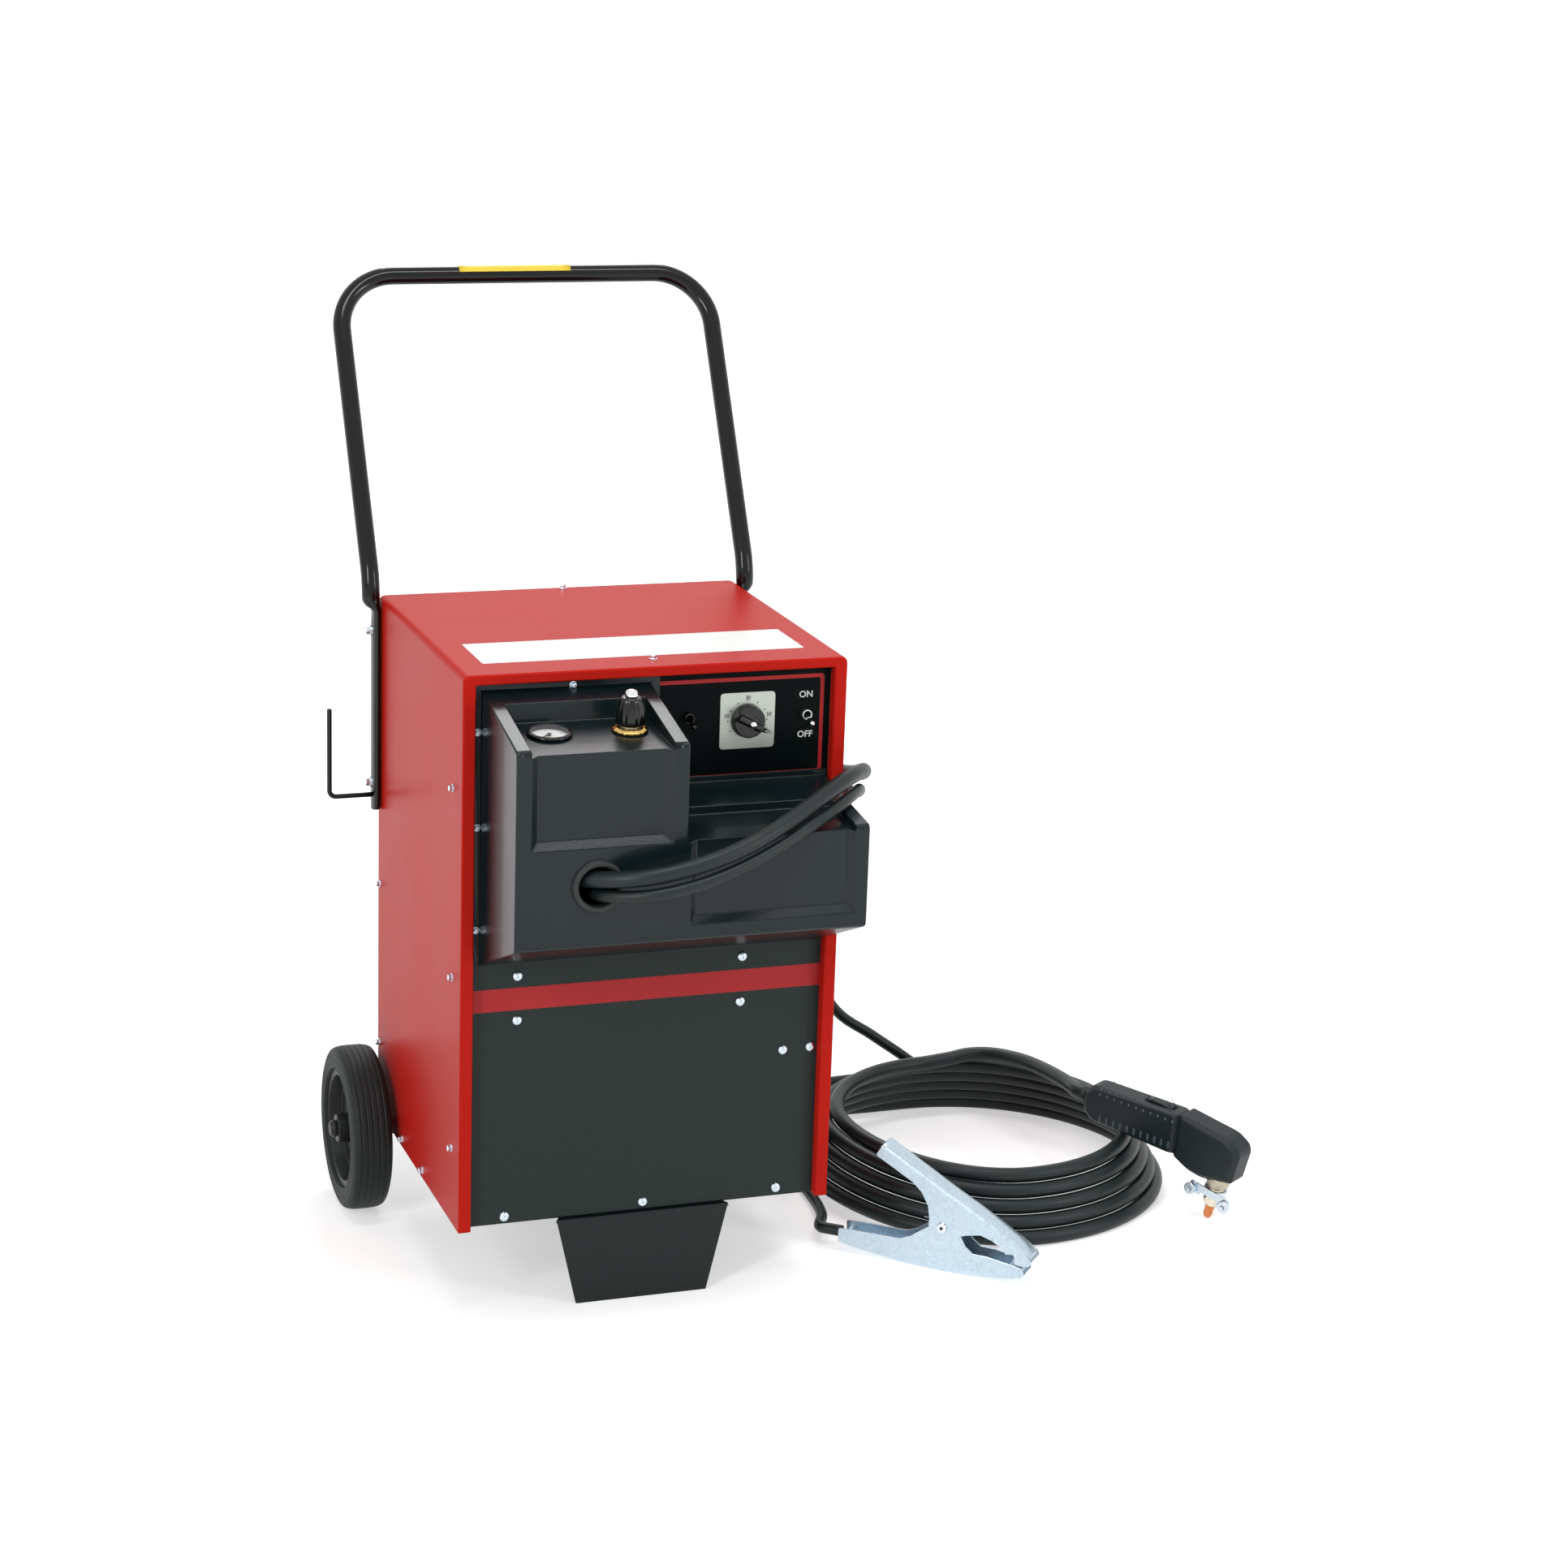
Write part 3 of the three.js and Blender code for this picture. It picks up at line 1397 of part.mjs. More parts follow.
// Stand-off guide: a split ring round the shield cup with two arms, each carrying a roller.
const guideDepth = cupTop + 7;
const rollerReach = 25;
piece(
  "guide_bracket",
  cut(
    join(
      turned(ringProfile(12.5 + FIT, 15, -guideDepth - 5, -guideDepth + 5), Z_AXIS, vec(0, 0, 0), 20),
      box(-rollerReach - 4, -12.9, -15.3, -12.9, -guideDepth - 9, -guideDepth + 5),
      box(12.9, rollerReach + 4, -15.3, -12.9, -guideDepth - 9, -guideDepth + 5),
      box(-13.5, 13.5, -15.3, -12.9, -guideDepth - 5, -guideDepth + 5),
      rod(vec(-rollerReach, -13, -guideDepth - 4), vec(-rollerReach, -23, -guideDepth - 4), 2, 10),
      rod(vec(rollerReach, -13, -guideDepth - 4), vec(rollerReach, -23, -guideDepth - 4), 2, 10),
    ),
    box(-1.5, 1.5, 5, 20, -guideDepth - 20, -guideDepth + 20),
  ),
  zincSteel,
  nozzle,
);
for (const [name, side] of [
  ["left", -1],
  ["right", 1],
])
  piece(
    `guide_roller_${name}`,
    turned(
      ringProfile(2 + RUNNING_FIT, 8, -3, 3),
      Y_AXIS,
      vec(side * rollerReach, -18.6, -guideDepth - 4),
      16,
    ),
    zincSteel,
    nozzle,
  );

// The hose's end stretch: from the coil's top layer over the ring into the torch's rear.
const coilEnd = coilPoints[coilPoints.length - 1].clone().add(coilAway.clone().setLength(FIT));
const hoseIntoTorch = torchRear.clone().addScaledVector(torchAxis, -FIT);
cord(
  "torch_hose_end",
  cordPath(
    [
      coilEnd,
      coilEnd.clone().add(coilAway),
      vec(584, 421, 96),
      vec(612, 405, 100),
      vec(638, 360, 105),
      vec(648, 300, 111),
      vec(651, 240, 116),
      hoseIntoTorch.clone().addScaledVector(torchAxis, -HOSE_DIAMETER),
      hoseIntoTorch,
    ],
    HOSE_DIAMETER,
    28,
  ),
  HOSE_DIAMETER,
  10,
);

// ---------------------------------------------------------------- work clamp
// Its own frame: x from the handles' end to the jaws' tip, z up, width along y.
const clampRear = vec(280.8, 72, 0);
const clampHeading = vec(0.742, -0.67, 0).normalize();
const clamp = new THREE.Group();
clamp.quaternion.setFromRotationMatrix(
  new THREE.Matrix4().makeBasis(clampHeading, Z_AXIS.clone().cross(clampHeading), Z_AXIS),
);
clamp.position.copy(clampRear);
machine.add(clamp);
const clampSlab = (corners, y0, y1) => alongY(roundedShape(corners), y0, y1);
const pinAt = vec(134, 0, 57);
// A channel half: a web that follows one edge and two side plates that reach to the pin. The
// lower half sits between the upper half's side plates.
const upperOuter = CLAMP_WIDTH / 2;
const lowerOuter = upperOuter - CLAMP_SHEET - FIT;
const lowerBow = [
  [239, 14, 3],
  [224, 8],
  [199, 4.6],
  [165, 1.5],
  [130, 0.3],
  [90, 1.8],
  [51, 5.4],
  [25, 8.6],
  [0, 12, 2],
];
const lowerPlate = [
  [0, 30, 3],
  [22, 31],
  [58, 31.5],
  [79, 32],
  [93, 38],
  [107, 48.5],
  [118, 56, 6],
  [122, 66, 6],
  [146, 66, 6],
  [156, 52],
  [164, 37.5],
  [174, 30],
  [192, 29.7],
  [210, 27],
  [225, 25],
  [237, 22.5, 2],
  ...lowerBow,
];
// The strip between a run of edge points and the same run moved by one sheet's thickness.
function webAlong(edge, shift) {
  const bare = edge.map(([x, z]) => [x, z]);
  return [...bare, ...bare.map(([x, z]) => [x + shift[0], z + shift[1]]).reverse()];
}
const clampPinHole = rod(
  vec(pinAt.x, -40, pinAt.z),
  vec(pinAt.x, 40, pinAt.z),
  CLAMP_PIN_RADIUS + FIT,
  12,
);
piece(
  "clamp_lower",
  cut(
    join(
      clampSlab(lowerPlate, lowerOuter - CLAMP_SHEET, lowerOuter),
      clampSlab(lowerPlate, -lowerOuter, -lowerOuter + CLAMP_SHEET),
      clampSlab(webAlong(lowerBow, [0, CLAMP_SHEET]), -lowerOuter, lowerOuter),
      box(218, 236, -lowerOuter, lowerOuter, 10, 23),
    ),
    clampPinHole,
  ),
  zincSteel,
  clamp,
);
const upper = new THREE.Group();
upper.position.copy(pinAt);
clamp.add(upper);
// Upper half: its handle rises to the rear, its jaw comes down in front over the lower one.
const upperRidge = [
  [52, 147, 3],
  [85, 129],
  [138, 99.5],
  [182, 76.5],
  [227, 50.3],
  [244, 38.5],
  [248, 33],
];
const upperPlate = [
  ...upperRidge,
  [245, 27.5],
  [238, 26.4],
  [227, 27.9],
  [226.5, 34],
  [225, 41, 2],
  [216, 37.5, 2],
  [209.4, 44.8],
  [198, 51.8],
  [183, 56.2],
  [164.5, 52.4],
  [150, 46.6],
  [142.8, 39.5, 3],
  [116, 55.6, 3],
  [117, 65.3],
  [114.5, 81.7],
  [106, 97],
  [94.5, 107.7],
  [79, 116],
  [45, 134.5, 3],
];
const fromPin = (corners) => corners.map(([x, z, own]) => [x - pinAt.x, z - pinAt.z, own]);
const upperWeb = webAlong(upperRidge, [-0.49 * CLAMP_SHEET, -0.87 * CLAMP_SHEET]);
piece(
  "clamp_upper",
  cut(
    join(
      clampSlab(fromPin(upperPlate), upperOuter - CLAMP_SHEET, upperOuter),
      clampSlab(fromPin(upperPlate), -upperOuter, -upperOuter + CLAMP_SHEET),
      clampSlab(fromPin(upperWeb), -upperOuter, upperOuter),
    ),
    rod(vec(0, -40, 0), vec(0, 40, 0), CLAMP_PIN_RADIUS + FIT, 12),
  ),
  zincSteel,
  upper,
);
piece(
  "clamp_pin",
  join(
    rod(
      vec(pinAt.x, -upperOuter - 3, pinAt.z),
      vec(pinAt.x, upperOuter + 3, pinAt.z),
      CLAMP_PIN_RADIUS,
      12,
    ),
    rod(
      vec(pinAt.x, upperOuter + FIT, pinAt.z),
      vec(pinAt.x, upperOuter + 3, pinAt.z),
      CLAMP_PIN_RADIUS + 2.5,
      12,
    ),
    rod(
      vec(pinAt.x, -upperOuter - FIT, pinAt.z),
      vec(pinAt.x, -upperOuter - 3, pinAt.z),
      CLAMP_PIN_RADIUS + 2.5,
      12,
    ),
  ),
  brightSteel,
  clamp,
);
// Torsion spring round the pin.
const SPRING_CURLS = 5;
const SPRING_WIRE = 2;
const springRadius = CLAMP_PIN_RADIUS + SPRING_WIRE;
const springPoints = [];
const springSpan = SPRING_CURLS * (SPRING_WIRE + 1.2);
springPoints.push(vec(-26, -springSpan / 2, springRadius));
for (let i = 0; i <= SPRING_CURLS * 8; i++) {
  const angle = Math.PI / 2 - (2 * Math.PI * i) / 8;
  springPoints.push(
    vec(
      springRadius * Math.cos(angle),
      -springSpan / 2 + (springSpan * i) / (SPRING_CURLS * 8),
      springRadius * Math.sin(angle),
    ),
  );
}
springPoints.push(vec(26, springSpan / 2, springRadius));
const springGroup = new THREE.Group();
springGroup.position.copy(pinAt);
clamp.add(springGroup);
const wire = SPRING_WIRE / 2;
piece("clamp_spring", sweep(springPoints, () => [wire, wire], 5, Y_AXIS), steelGrey, springGroup);

// ---------------------------------------------------------------- work lead
// Out of the same hole under the hose, over the hook and down behind the coil, round in a loop
// on the floor and back, under the coil's left side, into the clamp's lower handle.
const leadFloor = LEAD_DIAMETER / 2 + 0.25;
const leadInto = clampRear.clone().addScaledVector(clampHeading, -FIT).setZ(20);
const leadPoints = [
  vec(LEAD_GLAND.x, -14 - FIT, LEAD_GLAND.z),
  vec(LEAD_GLAND.x, -14 - FIT - LEAD_DIAMETER, LEAD_GLAND.z),
  vec(-107, -70, 536),
  vec(-107, -120, 544),
  vec(-103, -156, 550),
  vec(-62, -189, 557),
  vec(-5, -193, 567),
  vec(54, -181, 582),
  vec(108, -163, 600),
  vec(138, -148, 611),
  vec(165, -130, 617),
  vec(200, -97, 624),
  vec(228, -56, 621),
  vec(247, -4, 603),
  vec(255, 60, 585),
  vec(264, 180, 560),
  vec(275, 300, 540),
  vec(271.5, 384, 532),
  vec(288, 440, 500),
  vec(322, 482, 380),
  vec(375, 502, 240),
  vec(428, 506, 143),
  vec(480, 506, 104),
  vec(523, 502, 73),
  vec(568, 508, 38),
  vec(612, 512, 12),
];
const loopRadius = 40;
const loopCentre = vec(642, 552, leadFloor);
for (let i = 0; i <= 6; i++) {
  const angle = (i / 6 - 0.5) * Math.PI;
  leadPoints.push(
    vec(
      loopCentre.x + loopRadius * Math.cos(angle),
      loopCentre.y + loopRadius * Math.sin(angle),
      leadFloor,
    ),
  );
}
leadPoints.push(
  vec(560, 593, leadFloor),
  vec(460, 590, leadFloor),
  vec(380, 577, leadFloor),
  vec(330, 545, leadFloor),
  vec(304, 495, leadFloor),
  vec(295, 440, leadFloor),
  vec(294.3, 380, leadFloor),
  vec(294.3, 320, leadFloor),
  vec(294, 250, leadFloor),
  vec(290, 190, leadFloor + 1),
  vec(279, 140, leadFloor + 6),
  leadInto.clone().addScaledVector(clampHeading, -LEAD_DIAMETER * 2),
  leadInto.clone().addScaledVector(clampHeading, -LEAD_DIAMETER),
  leadInto,
);
cord("work_lead", cordPath(leadPoints, LEAD_DIAMETER, 38), LEAD_DIAMETER, 8);

// ---------------------------------------------------------------- panel glands
for (const [name, spot, bore] of [
  ["hose_gland", HOSE_GLAND, HOSE_DIAMETER / 2],
  ["lead_gland", LEAD_GLAND, LEAD_DIAMETER / 2],
])
  piece(
    name,
    turned(
      [
        [0, -14],
        [bore + 2, -14],
        [GLAND_RADIUS - 2, -10],
        [GLAND_RADIUS, -5],
        [GLAND_RADIUS, -FIT],
        [GLAND_HOLE - FIT, -FIT],
        [GLAND_HOLE - FIT, 12],
        [0, 12],
      ],
      Y_AXIS,
      vec(spot.x, 0, spot.z),
      16,
    ),
    mouldedBlack,
  );

// ---------------------------------------------------------------- inside the cabinet
const floor = BOTTOM + 2 + FIT;
const coreRear = coreFront + CORE_DEPTH;
const windowOuter = CORE_WIDTH / 2 - CORE_YOKE;
const windowInner = CORE_LIMB / 2;
const windowLow = floor + CORE_YOKE;
const windowHigh = floor + CORE_HEIGHT - CORE_YOKE;
piece(
  "transformer_core",
  cut(
    box(-CORE_WIDTH / 2, CORE_WIDTH / 2, coreFront, coreRear, floor, floor + CORE_HEIGHT),
    box(-windowOuter, -windowInner, coreFront - 10, coreRear + 10, windowLow, windowHigh),
    box(windowInner, windowOuter, coreFront - 10, coreRear + 10, windowLow, windowHigh),
  ),
  steelGrey,
);
const coilSwell = 32; // the winding bulges this far in front of and behind the core
piece(
  "transformer_winding",
  cut(
    box(
      -windowOuter + 2,
      windowOuter - 2,
      coreFront - coilSwell,
      coreRear + coilSwell,
      windowLow + 4,
      windowHigh - 4,
    ),
    box(
      -windowInner - FIT,
      windowInner + FIT,
      coreFront - FIT,
      coreRear + FIT,
      windowLow - 10,
      windowHigh + 10,
    ),
  ),
  windingTan,
);
const shelfTop = SHELF_HEIGHT + FIT;
const sinkFront = coreFront - 40;
const sinkLeft = -SIDE + 71;
const finPitch = (SINK_WIDTH - 12) / (SINK_FINS - 1);
const finBoxes = [];
for (let i = 0; i < SINK_FINS; i++) {
  const x = sinkLeft + 4 + i * finPitch;
  const finTop = shelfTop + SINK_HEIGHT;
  finBoxes.push(box(x, x + 3, sinkFront, sinkFront + SINK_DEPTH, shelfTop + 5, finTop));
}
piece(
  "rectifier_sink",
  join(
    box(
      sinkLeft,
      sinkLeft + SINK_WIDTH,
      sinkFront,
      sinkFront + SINK_DEPTH,
      shelfTop,
      shelfTop + 6,
    ),
    ...finBoxes,
  ),
  brushedAluminium,
);
const boardRight = SIDE - 25;
const boardLeft = boardRight - BOARD_WIDTH;
const boardFront = coreFront + 30;
piece(
  "control_board",
  join(
    box(boardLeft, boardRight, boardFront, boardFront + 2, shelfTop, shelfTop + BOARD_HEIGHT),
    box(boardLeft + 20, boardLeft + 50, boardFront - 10, boardFront + 1, shelfTop + 30, shelfTop + 60),
    box(
      boardRight - 70,
      boardRight - 25,
      boardFront - 20,
      boardFront + 1,
      shelfTop + 80,
      shelfTop + 120,
    ),
  ),
  boardGreen,
);
// Fan: square frame against the rear panel with a round duct, three arms and a hub boss.
const fanBack = rearFace - FIT;
const fanDepth = 38;
const fanHalf = FAN_RADIUS + 3;
const arms = [0, 1, 2].map((i) =>
  box(-4, 4, fanBack - 6, fanBack - 1, 10, fanHalf - 2)
    .rotateY((i * 2 * Math.PI) / 3)
    .translate(FAN.x, 0, FAN.z),
);
piece(
  "fan_frame",
  join(
    cut(
      box(
        FAN.x - fanHalf,
        FAN.x + fanHalf,
        fanBack - fanDepth,
        fanBack,
        FAN.z - fanHalf,
        FAN.z + fanHalf,
      ),
      hole(FAN.x, FAN.z, FAN.radius - 1, fanBack - fanDepth - 5, fanBack + 5, 28),
    ),
    ...arms,
    rod(vec(FAN.x, fanBack - 7, FAN.z), vec(FAN.x, fanBack - 1, FAN.z), 20, 16),
    rod(vec(FAN.x, fanBack - 26, FAN.z), vec(FAN.x, fanBack - 5, FAN.z), 3, 10),
  ),
  mouldedBlack,
);
const blades = [];
for (let i = 0; i < 7; i++) {
  const blade = new THREE.BoxGeometry(3, 20, 46).rotateZ(0.6).translate(0, 0, 40);
  blade.rotateY((i * 2 * Math.PI) / 7).translate(FAN.x, fanBack - 20, FAN.z);
  blades.push(blade);
}
piece(
  "fan_blades",
  cut(
    join(rod(vec(FAN.x, fanBack - 30, FAN.z), vec(FAN.x, fanBack - 9, FAN.z), 20, 16), ...blades),
    rod(
      vec(FAN.x, fanBack - 26 - FIT, FAN.z),
      vec(FAN.x, fanBack, FAN.z),
      3 + RUNNING_FIT,
      10,
    ),
  ),
  mouldedBlack,
  machine,
);
piece(
  "air_inlet",
  turned(
    [
      [0, -22],
      [6.7, -22],
      [6.7, FIT],
      [12, FIT],
      [12, 10],
      [8, 12],
      [8, 28],
      [0, 28],
    ],
    Y_AXIS,
    vec(AIR_INLET.x, REAR, AIR_INLET.z),
    12,
  ),
  brass,
);
piece(
  "mains_gland",
  turned(
    [
      [0, -14],
      [9.7, -14],
      [9.7, FIT],
      [15, FIT],
      [15, 8],
      [11, 22],
      [0, 22],
    ],
    Y_AXIS,
    vec(MAINS_GLAND.x, REAR, MAINS_GLAND.z),
    16,
  ),
  mouldedBlack,
);

export default machine;
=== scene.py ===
"""A wheeled plasma cutting machine with its torch, work clamp and leads."""

import json
import math

import bpy
import numpy as np
from mathutils import Matrix, Vector


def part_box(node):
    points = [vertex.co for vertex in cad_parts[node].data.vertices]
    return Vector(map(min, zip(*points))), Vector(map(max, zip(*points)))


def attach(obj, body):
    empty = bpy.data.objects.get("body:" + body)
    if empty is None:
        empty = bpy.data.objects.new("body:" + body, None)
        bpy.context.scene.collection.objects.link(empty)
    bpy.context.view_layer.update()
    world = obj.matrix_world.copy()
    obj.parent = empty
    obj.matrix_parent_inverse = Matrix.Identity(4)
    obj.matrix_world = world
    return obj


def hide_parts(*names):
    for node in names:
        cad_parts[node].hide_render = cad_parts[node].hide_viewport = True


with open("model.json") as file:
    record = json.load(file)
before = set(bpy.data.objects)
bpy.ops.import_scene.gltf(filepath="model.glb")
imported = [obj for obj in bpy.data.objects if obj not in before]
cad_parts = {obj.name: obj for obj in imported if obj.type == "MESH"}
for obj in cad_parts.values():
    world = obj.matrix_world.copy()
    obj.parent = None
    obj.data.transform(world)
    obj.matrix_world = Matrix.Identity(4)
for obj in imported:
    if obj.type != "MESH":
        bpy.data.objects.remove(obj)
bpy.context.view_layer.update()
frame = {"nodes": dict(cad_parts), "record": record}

nodes = frame["nodes"]
slots_of = {part["node"]: part["material_slot"] for part in frame["record"]["subparts"]}
body_of = {
    node: body
    for body, members in frame["record"]["behaviour"]["bodies"].items()
    for node in members
}
scene = bpy.context.scene

# ------------------------------------------------------------------ camera
# A long lens in front of the machine's left corner, a little above the cabinet, looking down
# at the panel, turned slightly about its own axis.
camera_place = Vector((-1.1539, -3.5985, 1.7025))
turn, dip, roll = (math.radians(angle) for angle in (20.03, 15.83, 2.02))
forward = Vector(
    (math.sin(turn) * math.cos(dip), math.cos(turn) * math.cos(dip), -math.sin(dip))
)
level = Vector((math.cos(turn), -math.sin(turn), 0))
above = level.cross(forward)
right = level * math.cos(roll) + above * math.sin(roll)
upward = above * math.cos(roll) - level * math.sin(roll)
lens = bpy.data.cameras.new("camera")
lens.sensor_width = 36
lens.lens = 79.76
lens.clip_end = 60
camera = bpy.data.objects.new("camera", lens)
axes = Matrix((right, upward, -forward)).transposed().to_4x4()
camera.matrix_world = Matrix.Translation(camera_place) @ axes
scene.collection.objects.link(camera)
scene.camera = camera

# ------------------------------------------------------------------ shared surface effects
# Every surface has some unevenness: paint varies a little in tone and gloss, mouldings and
# castings have a fine skin. One group gives them all, with its own scale on each material.


def socket(group, name, into, kind="NodeSocketFloat", value=None):
    """Adds a named socket to a node group."""
    way = "INPUT" if into else "OUTPUT"
    made = group.interface.new_socket(name=name, in_out=way, socket_type=kind)
    if value is not None:
        made.default_value = value
    return made


def uneven_surface_group():
    """Colour x (1 + variation x cloud), roughness + spread x cloud, height = fine grain."""
    group = bpy.data.node_groups.new("uneven_surface", "ShaderNodeTree")
    socket(group, "Vector", True, "NodeSocketVector")
    socket(group, "Color", True, "NodeSocketColor")
    socket(group, "Variation", True, value=0.1)
    socket(group, "Cloud Scale", True, value=14.0)
    socket(group, "Grain Scale", True, value=600.0)
    socket(group, "Speckle", True, value=0.0)
    socket(group, "Roughness", True, value=0.5)
    socket(group, "Spread", True, value=0.08)
    socket(group, "Color", False, "NodeSocketColor")
    socket(group, "Roughness", False)
    socket(group, "Height", False)
    links = group.links.new
    enter = group.nodes.new("NodeGroupInput")
    leave = group.nodes.new("NodeGroupOutput")
    cloud = group.nodes.new("ShaderNodeTexNoise")
    cloud.inputs["Detail"].default_value = 5
    cloud.inputs["Roughness"].default_value = 0.6
    links(enter.outputs["Vector"], cloud.inputs["Vector"])
    links(enter.outputs["Cloud Scale"], cloud.inputs["Scale"])
    grain = group.nodes.new("ShaderNodeTexNoise")
    grain.inputs["Detail"].default_value = 2
    links(enter.outputs["Vector"], grain.inputs["Vector"])
    links(enter.outputs["Grain Scale"], grain.inputs["Scale"])

    def math_node(operation, first, second):
        node = group.nodes.new("ShaderNodeMath")
        node.operation = operation
        for index, value in enumerate((first, second)):
            if isinstance(value, (int, float)):
                node.inputs[index].default_value = value
            else:
                links(value, node.inputs[index])
        return node.outputs[0]

    centred = math_node("SUBTRACT", cloud.outputs["Fac"], 0.5)
    grain_centred = math_node("SUBTRACT", grain.outputs["Fac"], 0.5)
    shade = math_node("MULTIPLY", centred, enter.outputs["Variation"])
    speck = math_node("MULTIPLY", grain_centred, enter.outputs["Speckle"])
    factor = math_node("ADD", math_node("ADD", shade, speck), 1.0)
    scaled = group.nodes.new("ShaderNodeVectorMath")
    scaled.operation = "SCALE"
    links(enter.outputs["Color"], scaled.inputs[0])
    links(factor, scaled.inputs["Scale"])
    links(scaled.outputs[0], leave.inputs["Color"])
    spread = math_node("MULTIPLY", centred, enter.outputs["Spread"])
    links(math_node("ADD", enter.outputs["Roughness"], spread), leave.inputs["Roughness"])
    links(grain.outputs["Fac"], leave.inputs["Height"])
    return group


uneven_surface = uneven_surface_group()


def tone(red, green, blue):
    """A colour given as 0 to 255 display values, as linear light: ((c + 0.055) / 1.055) ^ 2.4."""
    values = np.array((red, green, blue)) / 255
    linear = np.where(values > 0.04045, ((values + 0.055) / 1.055) ** 2.4, values / 12.92)
    return tuple(float(value) for value in linear)


def surface(
    name,
    colour,
    roughness,
    metallic=0.0,
    variation=0.1,
    cloud=14.0,
    grain=600.0,
    depth=0.0001,
    speckle=0.0,
    spread=0.08,
    coat=0.0,
    stretch=None,
    mirror=0.5,
    ior=1.5,
):
    """A material with uneven tone, gloss and a fine grain, all on Object coordinates."""
    material = bpy.data.materials.new(name)
    material.use_nodes = True
    tree = material.node_tree
    shader = tree.nodes["Principled BSDF"]
    place = tree.nodes.new("ShaderNodeTexCoord")
    vector = place.outputs["Object"]
    if stretch:
        mapping = tree.nodes.new("ShaderNodeMapping")
        mapping.inputs["Scale"].default_value = stretch
        tree.links.new(vector, mapping.inputs["Vector"])
        vector = mapping.outputs["Vector"]
    effect = tree.nodes.new("ShaderNodeGroup")
    effect.node_tree = uneven_surface
    tree.links.new(vector, effect.inputs["Vector"])
    effect.inputs["Color"].default_value = (*colour, 1)
    for key, value in (
        ("Variation", variation),
        ("Cloud Scale", cloud),
        ("Grain Scale", grain),
        ("Speckle", speckle),
        ("Roughness", roughness),
        ("Spread", spread),
    ):
        effect.inputs[key].default_value = value
    tree.links.new(effect.outputs["Color"], shader.inputs["Base Color"])
    tree.links.new(effect.outputs["Roughness"], shader.inputs["Roughness"])
    bump = tree.nodes.new("ShaderNodeBump")
    bump.inputs["Strength"].default_value = 1.0
    bump.inputs["Distance"].default_value = depth
    tree.links.new(effect.outputs["Height"], bump.inputs["Height"])
    tree.links.new(bump.outputs["Normal"], shader.inputs["Normal"])
    shader.inputs["Metallic"].default_value = metallic
    shader.inputs["Specular IOR Level"].default_value = mirror
    shader.inputs["IOR"].default_value = ior
    shader.inputs["Coat Weight"].default_value = coat
    shader.inputs["Coat Roughness"].default_value = 0.08
    material.diffuse_color = (*colour, 1)
    return material


def grid_faces(rings, sides, closed_round=True, closed_along=False):
    """Quads of a grid of rings x sides points, as rows of four indices."""
    i = np.arange(rings if closed_along else rings - 1)
    k = np.arange(sides if closed_round else sides - 1)
    i, k = (a.ravel() for a in np.meshgrid(i, k, indexing="ij"))
    j, m = (i + 1) % rings, (k + 1) % sides
    return np.stack([i * sides + k, i * sides + m, j * sides + m, j * sides + k], 1)


def build(name, points, faces, material, body, smooth=True, replaces=()):
    """A mesh object from points in metres and lists of faces; it rides on a body."""
    mesh = bpy.data.meshes.new(name)
    mesh.from_pydata(np.asarray(points, float).reshape(-1, 3).tolist(), [], faces)
    mesh.validate()
    mesh.update()
    mesh.polygons.foreach_set("use_smooth", np.full(len(mesh.polygons), smooth))
    obj = bpy.data.objects.new(name, mesh)
    mesh.materials.append(material)
    scene.collection.objects.link(obj)
    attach(obj, body)
    if replaces:
        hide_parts(*replaces)
    return obj


# ------------------------------------------------------------------ torch hose
# A black rubber hose of 19 mm with the torch's cable and air line inside. It leaves its gland,
# hangs over the low block and the right hook, and lies in a coil of five turns on the floor.
hose_diameter = 0.019
coil_centre = np.array((0.526, 0.250))
coil_radius, coil_pitch, coil_turns = 0.236, 0.0195, 5
coil_lie, last_lie = math.radians(57.6), math.radians(34.5)
coil_base = hose_diameter / 2 + 0.0002
torch_rear = np.array((0.6575, 0.188, 0.118))
torch_step = np.array((0.7305, 0.076, 0.107))
torch_axis = (torch_step - torch_rear) / np.linalg.norm(torch_step - torch_rear)


def flowing_line(points, steps=14):
    """Centripetal Catmull-Rom curve: each span is a cubic whose knots lie sqrt(distance) apart,
    so that it passes through every point without loops."""
    p = np.asarray(points, float)
    p = np.vstack([2 * p[0] - p[1], p, 2 * p[-1] - p[-2]])
    dt = np.sqrt(np.linalg.norm(np.diff(p, axis=0), axis=1))[:, None]
    slope = np.diff(p, axis=0) / dt
    wide = (p[2:] - p[:-2]) / (dt[1:] + dt[:-1])
    tangent = slope[:-1] - wide + slope[1:]
    start, end = p[1:-2], p[2:-1]
    first, last = tangent[:-1] * dt[1:-1], tangent[1:] * dt[1:-1]
    t = np.linspace(0, 1, steps, endpoint=False)[None, :, None]
    a, b, c, d = (q[:, None, :] for q in (start, end, first, last))
    line = (
        (2 * t**3 - 3 * t**2 + 1) * a
        + (t**3 - 2 * t**2 + t) * c
        + (3 * t**2 - 2 * t**3) * b
        + (t**3 - t**2) * d
    )
    return np.vstack([line.reshape(-1, 3), p[-2]])


def evenly(line, spacing):
    """The same line with points at equal distances along it."""
    run = np.concatenate([[0], np.cumsum(np.linalg.norm(np.diff(line, axis=0), axis=1))])
    count = max(2, int(round(run[-1] / spacing)) + 1)
    want = np.linspace(0, run[-1], count)
    return np.stack([np.interp(want, run, line[:, axis]) for axis in range(3)], 1)


